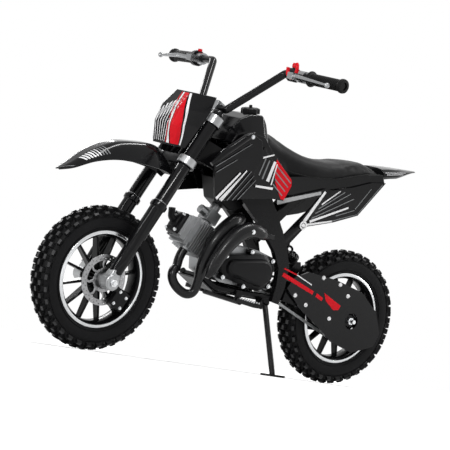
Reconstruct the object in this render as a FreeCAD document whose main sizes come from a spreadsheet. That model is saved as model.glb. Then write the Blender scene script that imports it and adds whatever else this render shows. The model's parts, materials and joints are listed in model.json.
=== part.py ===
import FreeCAD, Part
import math
import os
import re

from FreeCAD import Placement, Rotation, Vector

# Kids dirt bike. Millimetres, +X forwards, +Y to the rider's left, +Z up.
# Everything is drawn with the bike upright, the origin on the floor under the rear axle.
# At the end the whole bike is leaned over on its side stand.

os.makedirs("parts", exist_ok=True)
doc = FreeCAD.newDocument("kids_dirt_bike")
sheet = doc.addObject("Spreadsheet::Sheet", "Sizes")

# Columns: alias, value, meaning
SIZES = [
    ("wheel_base", 863, "between the two axles"),
    ("lean_angle", 7, "lean to the left when parked"),
    ("rake_angle", 25.3, "fork line from the vertical"),
    # Wheels
    ("tyre_radius", 198, "over the lugs"),
    ("rim_bed", 128, "radius where the tyre sits"),
    ("tyre_half", 33, "half the width of a tyre"),
    ("tread_half", 13.7, "outer edge of the middle lugs, that the bike leans on"),
    ("crown_radius", "=rim_bed + 0.9 * (tyre_radius - rim_bed)", "carcass at the crown"),
    ("crown_half", 17, "half the width of the crown"),
    ("wall_low", "=rim_bed + 0.3 * (tyre_radius - rim_bed)", "lower edge of the widest part"),
    ("wall_high", "=rim_bed + 0.75 * (tyre_radius - rim_bed)", "upper edge of the widest part"),
    ("ring_sides", 40, "flats round a tyre and a rim"),
    ("lug_pitches", 20, "rows of tread lugs round a tyre"),
    ("lug_long", 20, "length of a lug round the tyre"),
    ("lug_wide", 12, "width of a lug"),
    ("lug_root", 5, "depth of a middle lug's root in the carcass"),
    ("lug_high", 12, "edge lug from its root to its tip"),
    ("edge_root", "=rim_bed + 0.77 * (tyre_radius - rim_bed)", "root of an edge lug"),
    ("edge_aside", 22.5, "root of an edge lug from the middle"),
    ("edge_lean", 35, "outward lean of an edge lug"),
    ("bead_half", 24, "half the width at the bead"),
    ("rim_radius", 134, "over the lip of the rim"),
    ("rim_well", 117, "inner radius of the rim"),
    ("rim_half", 30, "half the width of the rim"),
    ("spoke_count", 12, "cast spokes in a wheel"),
    ("spoke_wide", 8, "width of a spoke"),
    ("spoke_deep", 16, "depth of a spoke along the axle"),
    ("hub_radius", 24, "radius of the hub"),
    ("hub_half", 35, "half the length of the hub"),
    ("axle_radius", 6, "radius of both axles"),
    ("axle_play", 0.05, "running clearance round an axle"),
    ("nut_radius", 11, "axle nuts, corner radius"),
    ("nut_high", 8, "height of an axle nut"),
    # Brake discs and final drive
    ("disc_radius", 70, "front brake disc"),
    ("rear_disc_radius", 62, "rear brake disc"),
    ("disc_band", 15, "width of the braking band"),
    ("disc_thick", 3, "thickness of a brake disc"),
    ("disc_hub_radius", 33, "centre of a brake disc"),
    ("disc_arms", 6, "arms between band and centre"),
    ("arm_wide", 7, "width of such an arm"),
    ("sprocket_teeth", 44, "teeth of the rear sprocket"),
    ("drive_teeth", 12, "teeth of the front sprocket"),
    ("sprocket_radius", 66, "over the teeth of the rear sprocket"),
    ("sprocket_thick", 4, "thickness of the sprockets"),
    ("drive_radius", 20, "over the teeth of the front sprocket"),
    ("chain_offset", 43, "chain line from the middle of the bike"),
    ("chain_wide", 8, "width of the chain"),
    ("chain_high", 8, "height of the chain's plates"),
    ("chain_gap", 1, "between sprocket and chain"),
    ("drive_x", 318, "front sprocket, forwards of the rear axle"),
    ("drive_z", 262, "front sprocket above the floor"),
    # Fork
    ("leg_offset", 64, "fork legs from the middle"),
    ("axis_offset", 32, "steering axis behind the fork line"),
    ("tube_radius", 20, "upper fork tubes"),
    ("tube_top", 560, "top of the fork tubes, along the fork from the axle"),
    ("guard_radius", 20, "lower fork guards"),
    ("guard_top", 256, "top of the lower guards"),
    ("guard_low", 30, "bottom of the lower guards"),
    ("collar_radius", 24, "collar at the top of a guard"),
    ("collar_high", 14, "height of that collar"),
    ("lug_radius", 22, "round axle lug of a leg"),
    ("lug_half", 19, "half the width of a lug"),
    ("clamp_low", 381, "underside of the lower clamp"),
    ("clamp_high", 519, "underside of the upper clamp"),
    ("clamp_thick", 26, "height of both clamps"),
    ("clamp_boss", 26, "radius of a clamp round its tube"),
    ("stem_radius", 12, "steering stem"),
    ("stem_play", 0.06, "running clearance round the stem"),
    ("head_radius", 24, "head tube"),
    ("head_gap", 4, "between head tube and clamps"),
    # Handlebar
    ("bar_radius", 11, "handlebar tube"),
    ("bar_half", 390, "half the width of the handlebar"),
    ("bar_end", 222, "outer bends from the ends"),
    ("bar_bend", "=bar_half - bar_end", "outer bends from the middle"),
    ("bar_foot", 62, "inner bends from the middle"),
    ("bar_rise", 132, "rise of the handlebar"),
    ("bar_back", 92, "sweep to the rear of the rise"),
    ("bar_sweep", 24, "further sweep of the ends"),
    ("bar_curve", 40, "radius of the handlebar's bends"),
    ("bar_posts", 36, "clamped middle above the upper clamp"),
    ("bar_height", "=clamp_high + clamp_thick + bar_posts", "clamped middle, along the fork"),
    ("bar_set", 16, "clamped middle behind the fork line"),
    ("grip_radius", 16, "grips"),
    ("grip_length", 124, "length of a grip"),
    ("cap_lobes", 8, "lobes of the fuel cap"),
    ("spring_turns", 7, "turns of the rear spring"),
    ("clamp_post", 28, "bar clamps from the middle"),
    # Frame
    ("spar_thick", 18, "side spars, thickness"),
    ("pivot_x", 268, "swingarm pivot, forwards"),
    ("pivot_z", 240, "swingarm pivot, height"),
    ("pivot_radius", 15, "swingarm pivot tube"),
    ("cradle_radius", 9, "cradle tubes under the engine"),
    ("cradle_offset", 58, "cradle tubes from the middle"),
    ("rail_radius", 9, "seat rails"),
    ("rail_offset", 50, "seat rails from the middle"),
    ("arm_offset", 60, "swingarm arms from the middle"),
    ("arm_thick", 16, "thickness of a swingarm arm"),
    ("arm_high", 34, "height of a swingarm arm"),
    # Engine
    ("case_half", 54, "half the width of the crankcase"),
    ("case_top", 21, "joint of crankcase and cylinder, along the bore"),
    ("fin_half", 40, "half the width of the cooling fins"),
    ("fin_high", 92, "fins across the cylinder"),
    ("fin_thick", 3, "thickness of a fin"),
    ("fin_pitch", 8, "from fin to fin"),
    ("fin_count", 8, "fins on the cylinder"),
    ("cylinder_radius", 30, "cylinder inside its fins"),
    ("cylinder_tilt", 65, "cylinder axis from the vertical"),
    ("header_radius", 13, "exhaust header pipe"),
    # Bodywork
    ("panel_thick", 4, "plastic panels"),
    ("seat_half", 84, "half the width of the seat"),
    ("tank_half", 70, "half the width of the tank"),
    ("shroud_offset", 92, "shrouds from the middle"),
    ("plate_thick", 4, "number plate"),
    ("fender_thick", 4, "front fender"),
    # Side stand
    ("stand_radius", 8, "side stand leg"),
    ("stand_pin", 5, "side stand bolt"),
    ("stand_play", 0.06, "running clearance on that bolt"),
]

for row, (alias, value, meaning) in enumerate(SIZES, 1):
    sheet.set("A%d" % row, meaning)
    sheet.set("B%d" % row, str(value))
    sheet.setAlias("B%d" % row, alias)
doc.recompute()


def cells(expression):
    """The expression with every size's alias pointed at the sheet."""
    return re.sub(r"\b[a-z]+_[a-z_]+\b", lambda found: "Sizes." + found.group(), expression)


def val(expression):
    """The number that an expression over the sizes gives now."""
    return float(sheet.evalExpression(cells(expression)))


X, Y, Z = Vector(1, 0, 0), Vector(0, 1, 0), Vector(0, 0, 1)
LEFT, RIGHT = 1, -1
SIDES = (LEFT, RIGHT)

wheel_base = val("wheel_base")
axle_high = val("tyre_radius")

# The wheels' own frame has its z along the axle, towards the rider's left.
ALONG_Y = Rotation(X, -90)
REAR_WHEEL = Placement(Vector(0, 0, axle_high), ALONG_Y)
FRONT_WHEEL = Placement(Vector(wheel_base, 0, axle_high), ALONG_Y)

# The fork's own frame starts at the front axle, with z up along the legs and x to the front.
FORK = Placement(Vector(wheel_base, 0, axle_high), Rotation(Y, -val("rake_angle")))
UPRIGHT = Placement()

nodes = []


def fork(forward, side, up):
    """A point of the fork's frame in the bike's frame."""
    return FORK.multVec(Vector(forward, side, up))


def keep(thing, label, frame=UPRIGHT):
    """Mark a finished sub-part, in the frame it was drawn in."""
    thing.Label = label
    nodes.append((thing, frame))
    return thing


def feature(label, shape, frame=UPRIGHT):
    """A sub-part whose shape comes from Part's own functions."""
    thing = doc.addObject("Part::Feature", label)
    thing.Shape = shape
    return keep(thing, label, frame)


def primitive(kind, name, place, **sizes):
    """A Part primitive with its sizes bound to the sheet."""
    solid = doc.addObject("Part::" + kind, name)
    for prop, expression in sizes.items():
        solid.setExpression(prop, cells(expression))
    solid.Placement = place
    return solid


def fuse(name, things):
    joined = doc.addObject("Part::MultiFuse", name)
    joined.Shapes = things
    return joined


def loop(points):
    return Part.makePolygon(points + [points[0]])


def side_plate(corners, near, far):
    """A flat plate with an outline of (x, z) corners, between two distances to the side."""
    face = Part.Face(loop([Vector(x, near, z) for x, z in corners]))
    return face.extrude(Vector(0, far - near, 0))


def mirrored(shape):
    return shape.mirror(Vector(0, 0, 0), Y)


def for_side(shape, side):
    """A shape drawn on the left, or its mirror image for the right."""
    return shape if side == LEFT else mirrored(shape)


def patch(corners):
    """One flat face over four corners, or two triangles where they don't lie flat."""
    first, second, third, fourth = corners
    square = (second - first).cross(third - first).normalize()
    if abs(square.dot(fourth - first)) < 1e-7:
        return [Part.Face(loop(corners))]
    return [Part.Face(loop([first, second, third])), Part.Face(loop([first, third, fourth]))]


def skin(sections, closed=False):
    """A solid of flat faces through sections that have the same number of corners."""
    faces = []
    following = sections[1:] + (sections[:1] if closed else [])
    for one, other in zip(sections, following):
        for index, corner in enumerate(one):
            after = (index + 1) % len(one)
            faces += patch([corner, one[after], other[after], other[index]])
    if not closed:
        faces += [Part.Face(loop(sections[0])), Part.Face(loop(sections[-1]))]
    return Part.makeSolid(Part.makeShell(faces))


ARC_SHARE, ARC_STEP = 0.45, 18


def route_of(points, radius=None):
    """Straight runs with an arc at each corner, as large as fits or of one radius, as points."""
    route = [points[0]]
    for before, corner, after in zip(points, points[1:], points[2:]):
        come = (corner - before).normalize()
        leave = (after - corner).normalize()
        turn = come.getAngle(leave)
        shorter = min((corner - before).Length, (after - corner).Length)
        reach = radius * math.tan(turn / 2) if radius else ARC_SHARE * shorter
        axis = come.cross(leave).normalize()
        start = corner - come * reach
        centre = start + axis.cross(come) * (reach / math.tan(turn / 2))
        steps = max(1, math.ceil(math.degrees(turn) / ARC_STEP))
        for step in range(steps + 1):
            swing = Rotation(axis, math.degrees(turn) * step / steps)
            route.append(centre + swing.multVec(start - centre))
    return route + [points[-1]]


def tube(stations, sides):
    """A bar with flat sides through stations of (centre, radius), mitred at each."""
    centres = [centre for centre, radius in stations]
    ahead = (centres[1] - centres[0]).normalize()
    aside = ahead.cross(Z if abs(ahead.z) < 0.9 else Y).normalize() * stations[0][1]
    ring = [centres[0] + Rotation(ahead, 360 * (index + 0.5) / sides).multVec(aside)
            for index in range(sides)]
    sections = [ring]
    for index in range(1, len(stations)):
        centre, radius = stations[index]
        come = (centre - centres[index - 1]).normalize()
        leave = come
        if index + 1 < len(stations):
            leave = (centres[index + 1] - centre).normalize()
        mitre = come + leave
        scale = radius / stations[index - 1][1]
        met = [corner + come * ((centre - corner).dot(mitre) / come.dot(mitre))
               for corner in sections[-1]]
        sections.append([centre + (corner - centre) * scale for corner in met])
    return skin(sections)


def pipe(points, radius, bend=None, sides=12):
    """A round bar along straight runs and arcs."""
    return tube([(point, radius) for point in route_of(points, bend)], sides)


def tapered_pipe(stations, sides=16):
    """A pipe through stations of (x, y, z, radius)."""
    return tube([(Vector(x, y, z), radius) for x, y, z, radius in stations], sides)


def rod(start, direction, radius, length, sides=12):
    """A straight bar with flat sides, where no other piece runs in it or round it."""
    along = Vector(direction).normalize()
    return tube([(start, radius), (start + along * length, radius)], sides)


def bar(stations, thick):
    """A flat bar through stations of (x, y, z, width), its thickness across the bike."""
    centres = [Vector(x, y, z) for x, y, z, width in stations]
    frames = []
    for index, centre in enumerate(centres):
        ahead = centres[min(index + 1, len(centres) - 1)]
        behind = centres[max(index - 1, 0)]
        along = Vector(ahead.x - behind.x, 0, ahead.z - behind.z).normalize()
        up = Vector(-along.z, 0, along.x) * (stations[index][3] / 2)
        out = Y * (thick / 2)
        frames.append([centre - up - out, centre + up - out, centre + up + out, centre - up + out])
    return skin(frames)


def cylinder(start, direction, radius, length):
    return Part.makeCylinder(radius, length, start, direction)


def across(x, z, radius, near, far):
    """A cylinder across the bike between two distances to the side."""
    return Part.makeCylinder(radius, far - near, Vector(x, near, z), Y)


# Wheels

def ring_of(profile, sides):
    """A ring of flats round a wheel's axis through (radius, distance aside) corners."""
    turns = [Rotation(Z, 360 * index / sides) for index in range(sides)]
    return skin([[turn.multVec(Vector(radius, 0, aside)) for radius, aside in profile]
                 for turn in turns], True)


def both_halves(half):
    """A profile and its mirror image on the other side of the wheel."""
    return half + [(radius, -aside) for radius, aside in reversed(half)]


def lug(angle, radius, aside, lean, high):
    """A tread lug rooted in the carcass, tapered to its tip."""
    turn = Rotation(Z, angle)
    out = turn.multVec(Rotation(Y, -lean).multVec(X))
    across_it = turn.multVec(Rotation(Y, -lean).multVec(Z))
    along = turn.multVec(Y)
    root = turn.multVec(Vector(radius, 0, aside))
    sections = []
    for up, share in ((0, 1), (high, 0.86)):
        long_half = along * (share * val("lug_long") / 2)
        wide_half = across_it * (share * val("lug_wide") / 2)
        middle = root + out * up
        sections.append([middle - long_half - wide_half, middle + long_half - wide_half,
                         middle + long_half + wide_half, middle - long_half + wide_half])
    return skin(sections)


def make_tyre():
    """A knobbly tyre seated on the bed of the rim, in the wheel's frame."""
    half = [(val("rim_bed"), val("bead_half")), (val("wall_low"), val("tyre_half")),
            (val("wall_high"), val("tyre_half")), (val("crown_radius"), val("crown_half"))]
    carcass = ring_of(both_halves(half), int(val("ring_sides")))
    root = val("crown_radius - lug_root")
    high = val("tyre_radius") - root
    middle = val("crown_half") / 2
    # Columns: share of a pitch, radius of the root, distance aside, lean outwards, height
    rows = [(0, root, middle, 0, high), (0.5, root, -middle, 0, high),
            (0.5, val("edge_root"), val("edge_aside"), val("edge_lean"), val("lug_high")),
            (0, val("edge_root"), -val("edge_aside"), -val("edge_lean"), val("lug_high"))]
    pitch = 360 / val("lug_pitches")
    lugs = [lug((index + share) * pitch, *sizes)
            for index in range(int(val("lug_pitches"))) for share, *sizes in rows]
    return carcass.multiFuse(lugs)


def make_rim():
    """Rim, cast spokes and hub in one casting, in the wheel's frame."""
    half = [(val("rim_bed"), val("rim_half") - 4), (val("rim_radius"), val("rim_half") - 2),
            (val("rim_radius") - 9, val("rim_half")), (val("rim_well"), val("rim_half") - 12)]
    ring = ring_of(both_halves(half), int(val("ring_sides")))
    # Columns: distance aside, radius
    shape = [(-val("hub_half"), 30), (4 - val("hub_half"), 30), (8 - val("hub_half"), 0),
             (val("hub_half") - 8, 0), (val("hub_half") - 4, 30), (val("hub_half"), 30)]
    hub = tube([(Z * aside, radius or val("hub_radius")) for aside, radius in shape], 20)
    wide, deep = val("spoke_wide") / 2, val("spoke_deep") / 2
    near, far = val("hub_radius") - 4, val("rim_well") + 3
    spoke = skin([[Vector(reach, -wide * share, -deep), Vector(reach, wide * share, -deep),
                   Vector(reach, wide * share, deep), Vector(reach, -wide * share, deep)]
                  for reach, share in ((near, 1.4), (far, 1))])
    pieces = [hub]
    count = int(val("spoke_count"))
    for index in range(count):
        arm = spoke.copy()
        arm.rotate(Vector(0, 0, 0), Z, 360 * (index + 0.5) / count)
        pieces.append(arm)
    bore = cylinder(Z * -60, Z, val("axle_radius + axle_play"), 120)
    return ring.multiFuse(pieces).cut(bore)


def make_disc(label, radius, frame):
    """A brake disc: band, swept arms and centre."""
    half, inner = val("disc_thick") / 2, radius - val("disc_band")
    band = ring_of([(radius, -half), (radius, half), (inner, half), (inner, -half)], 40)
    centre = rod(Z * -half, Z, val("disc_hub_radius"), 2 * half, 20)
    pieces = [centre]
    for index in range(int(val("disc_arms"))):
        start, end = 360 * index / val("disc_arms"), 360 * (index + 0.6) / val("disc_arms")
        root = Rotation(Z, start).multVec(X) * (val("disc_hub_radius") - 3)
        tip = Rotation(Z, end).multVec(X) * (inner + 3)
        aside = (tip - root).cross(Z).normalize() * (val("arm_wide") / 2)
        pieces.append(skin([[corner - aside - Z * half, corner + aside - Z * half,
                             corner + aside + Z * half, corner - aside + Z * half]
                            for corner in (root, tip)]))
    bore = cylinder(Z * -10, Z, val("axle_radius + axle_play"), 20)
    return feature(label, band.multiFuse(pieces).cut(bore), frame)


def beside(frame, aside):
    """A wheel's frame moved along the axle."""
    return frame.multiply(Placement(Vector(0, 0, aside), Rotation()))


disc_aside = val("hub_half + disc_thick / 2")
tyre, rim = make_tyre(), make_rim()
for name, frame in (("front", FRONT_WHEEL), ("rear", REAR_WHEEL)):
    feature(name + "_tyre", tyre.copy(), frame)
    feature(name + "_rim", rim.copy(), frame)
make_disc("front_disc", val("disc_radius"), beside(FRONT_WHEEL, disc_aside))
make_disc("rear_disc", val("rear_disc_radius"), beside(REAR_WHEEL, -disc_aside))


def toothed(radius, teeth, thick):
    """A sprocket plate with pointed teeth, in a wheel's frame."""
    edge = []
    for index in range(2 * teeth):
        reach = radius - 3.5 * (index % 2)
        edge.append(Rotation(Z, 180 * index / teeth).multVec(X) * reach)
    return skin([[corner + Z * aside for corner in edge] for aside in (-thick / 2, thick / 2)])


def make_sprocket():
    """Rear sprocket on its carrier against the hub."""
    plate = toothed(val("sprocket_radius"), int(val("sprocket_teeth")), val("sprocket_thick"))
    plate.translate(Z * val("chain_offset"))
    carrier = rod(Z * val("hub_half"), Z, val("disc_hub_radius"),
                  val("chain_offset + sprocket_thick / 2 - hub_half"), 20)
    holes = [rod(Rotation(Z, 72 * index).multVec(X) * 49 + Z * 30, Z, 9, 30, 8)
             for index in range(5)]
    bore = cylinder(Z * 20, Z, val("axle_radius + axle_play"), 60)
    return feature("rear_sprocket", plate.fuse(carrier).cut(Part.makeCompound(holes)).cut(bore),
                   REAR_WHEEL)


make_sprocket()


def make_axle(label, left_hub, right_hub, seat, end):
    """An axle with its spacers and nuts, in the wheel's frame."""
    # Columns: name, start, radius, length
    pieces = [("left_spacer", "%s + 0.3" % left_hub, "axle_radius + 4",
               "%s - (%s) - 0.3" % (seat, left_hub)),
              ("right_spacer", "-(%s)" % seat, "axle_radius + 4",
               "%s - (%s) - 0.3" % (seat, right_hub))]
    solids = [primitive("Cylinder", label + "_rod", Placement(Vector(0, 0, -val(end)), Rotation()),
                        Radius="axle_radius", Height="2 * (%s)" % end)]
    for name, start, radius, length in pieces:
        spacer = primitive("Prism", "%s_%s" % (label, name),
                           Placement(Vector(0, 0, val(start)), Rotation()),
                           Circumradius=radius, Height=length)
        spacer.Polygon = 12
        solids.append(spacer)
    return solids


def axle_nuts(label, seat):
    """A nut on each end of an axle, outside its seat."""
    nuts = []
    for side, word in ((LEFT, "left"), (RIGHT, "right")):
        start = val(seat) if side == LEFT else -val(seat) - val("nut_high")
        nut = doc.addObject("Part::Prism", "%s_%s_nut" % (label, word))
        nut.Polygon = 6
        nut.setExpression("Circumradius", cells("nut_radius"))
        nut.setExpression("Height", cells("nut_high"))
        nut.Placement = Placement(Vector(0, 0, start), Rotation())
        nuts.append(nut)
    return nuts


lug_in = "leg_offset - lug_half"
lug_out = "leg_offset + lug_half"
front_axle = make_axle("front_axle", "hub_half + disc_thick", "hub_half",
                       lug_in, lug_out + " + nut_high + 4")
keep(fuse("front_axle_all", front_axle + axle_nuts("front_axle", lug_out)),
     "front_axle", FRONT_WHEEL)

arm_in = "arm_offset - arm_thick / 2"
arm_out = "arm_offset + arm_thick / 2"
rear_axle = make_axle("rear_axle", "chain_offset + sprocket_thick / 2",
                      "hub_half + disc_thick", arm_in, arm_out + " + nut_high + 14")
keep(fuse("rear_axle_all", rear_axle + axle_nuts("rear_axle", arm_out)),
     "rear_axle", REAR_WHEEL)


# Fork and what turns with it, drawn in the fork's frame

def make_fork_legs():
    """Lower legs with their guards, collars and axle lugs."""
    legs = []
    for side in SIDES:
        foot = Vector(0, side * val("leg_offset"), 0)
        # Columns: distance up the leg, radius
        shape = [(val("guard_low"), val("guard_radius") - 3),
                 (val("guard_low") + 40, val("guard_radius")),
                 (val("guard_top - collar_high"), val("guard_radius")),
                 (val("guard_top - collar_high") + 2, val("collar_radius")),
                 (val("guard_top"), val("collar_radius"))]
        guard = tube([(foot + Z * up, radius) for up, radius in shape], 16)
        lug = rod(foot - Y * val("lug_half"), Y, val("lug_radius"), 2 * val("lug_half"), 16)
        block = Part.makeBox(2 * val("lug_radius") - 6, 2 * val("lug_half"), 44,
                             foot + Vector(3 - val("lug_radius"), -val("lug_half"), 0))
        bore = cylinder(foot - Y * 60, Y, val("axle_radius"), 120)
        legs.append(guard.multiFuse([lug, block]).cut(bore))
    return feature("fork_legs", Part.makeCompound(legs), FORK)


def make_fork_tubes():
    """Upper fork tubes with their top caps."""
    tubes = []
    for side in SIDES:
        foot = Vector(0, side * val("leg_offset"), val("guard_top"))
        # Columns: distance above the guard, radius
        shape = [(0, 0), (val("tube_top - guard_top"), 0), (val("tube_top - guard_top") + 2, -6),
                 (val("tube_top - guard_top") + 6, -7)]
        tubes.append(tube([(foot + Z * up, val("tube_radius") + more) for up, more in shape], 16))
    return feature("fork_tubes", Part.makeCompound(tubes), FORK)


def clamp_plate(low):
    """One fork clamp: a boss round each tube and a web to the steering axis."""
    thick = val("clamp_thick")
    offset = val("leg_offset")
    back = val("axis_offset")
    web = [Vector(14, -offset, low), Vector(14, offset, low), Vector(-14, offset, low),
           Vector(-back - 22, 22, low), Vector(-back - 22, -22, low), Vector(-14, -offset, low)]
    plate = Part.Face(loop(web)).extrude(Z * thick)
    feet = [Vector(0, side * offset, low) for side in SIDES]
    plate = plate.multiFuse([rod(foot, Z, val("clamp_boss"), thick, 20) for foot in feet])
    for foot in feet:
        plate = plate.cut(rod(foot - Z, Z, val("tube_radius"), thick + 2, 16))
    return plate


def make_stem():
    """Lower clamp with the steering stem."""
    stem = cylinder(Vector(-val("axis_offset"), 0, val("clamp_low")), Z, val("stem_radius"),
                    val("clamp_high - clamp_low"))
    return feature("steering_stem", clamp_plate(val("clamp_low")).fuse(stem), FORK)


def make_upper_clamp():
    """Upper clamp with the two posts and caps that hold the handlebar."""
    top = val("clamp_high + clamp_thick")
    plate = clamp_plate(val("clamp_high"))
    bar_at = Vector(-val("bar_set"), 0, val("bar_height"))
    pieces = []
    for side in SIDES:
        foot = Vector(-val("bar_set"), side * val("clamp_post"), top - 2)
        pieces.append(rod(foot, Z, 11, val("bar_height") - top))
        pieces.append(Part.makeBox(38, 20, 32, bar_at + Vector(-19, side * val("clamp_post") - 10,
                                                               -16)))
    bore = cylinder(bar_at - Y * 80, Y, val("bar_radius"), 160)
    nut = rod(Vector(-val("axis_offset"), 0, top - 1), Z, 15, 9, 6)
    return feature("upper_clamp", plate.multiFuse(pieces + [nut]).cut(bore), FORK)


make_fork_legs()
make_fork_tubes()
make_stem()
make_upper_clamp()

BAR_STRAIGHT, BEND_REACH = 36, 30
bar_middle = fork(-val("bar_set"), 0, val("bar_height"))


def bar_points(side):
    """Inner bend, outer bend and end of the handlebar on one side."""
    foot = bar_middle + Y * (side * val("bar_foot"))
    bend = bar_middle + Vector(-val("bar_back"), side * val("bar_bend"), val("bar_rise"))
    end = bend + Vector(-val("bar_sweep"), side * val("bar_half - bar_bend"), -5)
    return foot, bend, end


def make_handlebar():
    """Handlebar: straight middle and ends, with mitred bends between them."""
    radius = val("bar_radius")
    pieces = []
    for side in SIDES:
        foot, bend, end = bar_points(side)
        middle = bar_middle + Y * (side * BAR_STRAIGHT)
        outward = (end - bend).normalize()
        start = bend + outward * BEND_REACH
        pieces.append(cylinder(start, outward, radius, (end - start).Length))
        pieces.append(tube([(point, radius - 0.2) for point in
                            route_of([middle, foot, bend, start], val("bar_curve"))], 12))
    straight = cylinder(bar_middle - Y * BAR_STRAIGHT, Y, radius, 2 * BAR_STRAIGHT)
    return feature("handlebar", straight.multiFuse(pieces))


def on_bar(side, from_end):
    """A point on the end stretch of the handlebar, and the outward direction there."""
    foot, bend, end = bar_points(side)
    outward = (end - bend).normalize()
    return end - outward * from_end, outward


def make_grips():
    """Grips with their flanges and ribs."""
    bore = val("bar_radius")
    grips = []
    for side in SIDES:
        start, outward = on_bar(side, val("grip_length"))
        radius = val("grip_radius")
        # Columns: distance from the inner end, radius
        shape = [(0, radius + 6), (4, radius + 6), (7, radius), (val("grip_length") - 10, radius),
                 (val("grip_length") - 6, radius + 4), (val("grip_length") + 4, radius + 3)]
        grip = tube([(start + outward * reach, wide) for reach, wide in shape], 16)
        grips.append(grip.cut(cylinder(start - outward, outward, bore, val("grip_length") + 1)))
    return feature("grips", Part.makeCompound(grips))


PERCH_FROM_END = 168
PERCH_WIDE = 26


def make_levers():
    """Brake lever, perch and clamp on each side."""
    levers = []
    for side in SIDES:
        start, outward = on_bar(side, PERCH_FROM_END)
        clamp = rod(start, outward, 17, PERCH_WIDE)
        seat = on_bar(side, PERCH_FROM_END - PERCH_WIDE / 2)[0]
        pivot = seat + Vector(34, 0, -4)
        block = Part.makeBox(34, 24, 18, seat + Vector(12, -12, -12))
        tip = on_bar(side, 8)[0] + Vector(52, 0, -8)
        bend = pivot + Vector(20, side * 40, 0)
        blade = tube([(pivot, 6), (bend, 6.5), ((bend + tip) / 2, 5), (tip, 4)], 8)
        run = (tip - bend).normalize()
        ball = tube([(tip + run * reach, wide) for reach, wide in
                     ((-3, 3), (0, 6.5), (4, 8), (8, 6.5), (11, 3))], 8)
        hole = cylinder(start - outward * 20, outward, val("bar_radius"), 70)
        levers.append(clamp.multiFuse([block, blade, ball]).cut(hole))
    return feature("hand_levers", Part.makeCompound(levers))


def make_controls():
    """Stop switch with its knob on the left, throttle housing on the right."""
    bore = val("bar_radius")
    start, outward = on_bar(LEFT, 204)
    switch = rod(start, outward, 19, 24).cut(cylinder(start - outward, outward, bore, 26))
    knob = rod(on_bar(LEFT, 192)[0] + Z * 15, Z, 8, 16, 8)
    start, outward = on_bar(RIGHT, 139.5)
    throttle = rod(start, outward, 23, 13).cut(cylinder(start - outward, outward, bore, 15))
    cover = rod(on_bar(RIGHT, 133)[0] + Vector(15, 0, -4), X, 6, 18, 8)
    return feature("hand_controls", Part.makeCompound([switch.fuse(knob), throttle.fuse(cover)]))


make_handlebar()
make_grips()
make_levers()
make_controls()


def arch(x, crown, half, drop, thick):
    """Section of a fender across the bike: an arch of even thickness."""
    outer = [(-half, -drop), (-half * 0.8, -drop * 0.35), (-half * 0.35, 0),
             (half * 0.35, 0), (half * 0.8, -drop * 0.35), (half, -drop)]
    inner = [Vector(x, side * (half - thick) / half, crown + down - thick)
             for side, down in reversed(outer)]
    return [Vector(x, side, crown + down) for side, down in outer] + inner


def make_front_fender():
    # Columns: forwards and up from the front axle, half width, drop at the sides
    sections = [(198, 272, 9, 2), (167, 294, 30, 12), (112, 338, 46, 28), (47, 370, 54, 44),
                (-23, 382, 58, 54), (-88, 382, 56, 58), (-141, 340, 40, 36), (-201, 284, 38, 30)]
    shell = skin([arch(wheel_base + ahead, axle_high + crown, half, drop, val("fender_thick"))
                  for ahead, crown, half, drop in sections])
    mount = Part.makeBox(28, 44, 30, Vector(-14, -22, val("clamp_low - 30")))
    mount.Placement = FORK
    return feature("front_fender", shell.fuse(mount))


def make_number_plate():
    """Number plate wrapped round the fork, with its two stays to the upper clamp."""
    # Columns: above the axle, front behind the axle, its half width, the same for the rear edge
    sections = [(392, 111, 46, 155, 60), (452, 108, 58, 182, 68), (502, 125, 62, 206, 70),
                (546, 155, 50, 223, 62)]
    thick = val("plate_thick")
    wires = []
    for up, ahead, front_half, behind, rear_half in sections:
        front, rear = wheel_base - ahead, wheel_base - behind
        outer = [(rear, -rear_half), (front - 12, -front_half), (front, -front_half * 0.7),
                 (front, front_half * 0.7), (front - 12, front_half), (rear, rear_half)]
        inner = [(rear, rear_half - thick), (front - 12 - thick, front_half - thick),
                 (front - thick, front_half * 0.65), (front - thick, -front_half * 0.65),
                 (front - 12 - thick, thick - front_half), (rear, thick - rear_half)]
        wires.append([Vector(x, aside, axle_high + up) for x, aside in outer + inner])
    forward = fork(1, 0, 0) - fork(0, 0, 0)
    stays = [rod(fork(14, side * 28, val("clamp_high + clamp_thick / 2")), forward, 5, 81, 8)
             for side in SIDES]
    return feature("number_plate", skin(wires).fuse(stays))


make_front_fender()
make_number_plate()


def make_front_caliper():
    """Front brake caliper behind the left leg, round the edge of the disc."""
    body = Part.makeBox(44, 32, 52, Vector(-88, 26, -44))
    slot = cylinder(Y * val("hub_half - 2"), Y, val("disc_radius") + 3, val("disc_thick") + 4)
    bracket = Part.makeBox(70, 10, 16, Vector(-88, 48, -8))
    lug = cylinder(Vector(0, 30, 0), Y, val("lug_radius"), 60)
    return feature("front_caliper", body.fuse(bracket).cut(slot).cut(lug), FORK)


make_front_caliper()


# Frame

SHOCK_FOOT, SHOCK_TOP = Vector(196, 0, 328), Vector(358, 0, 466)


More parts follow.
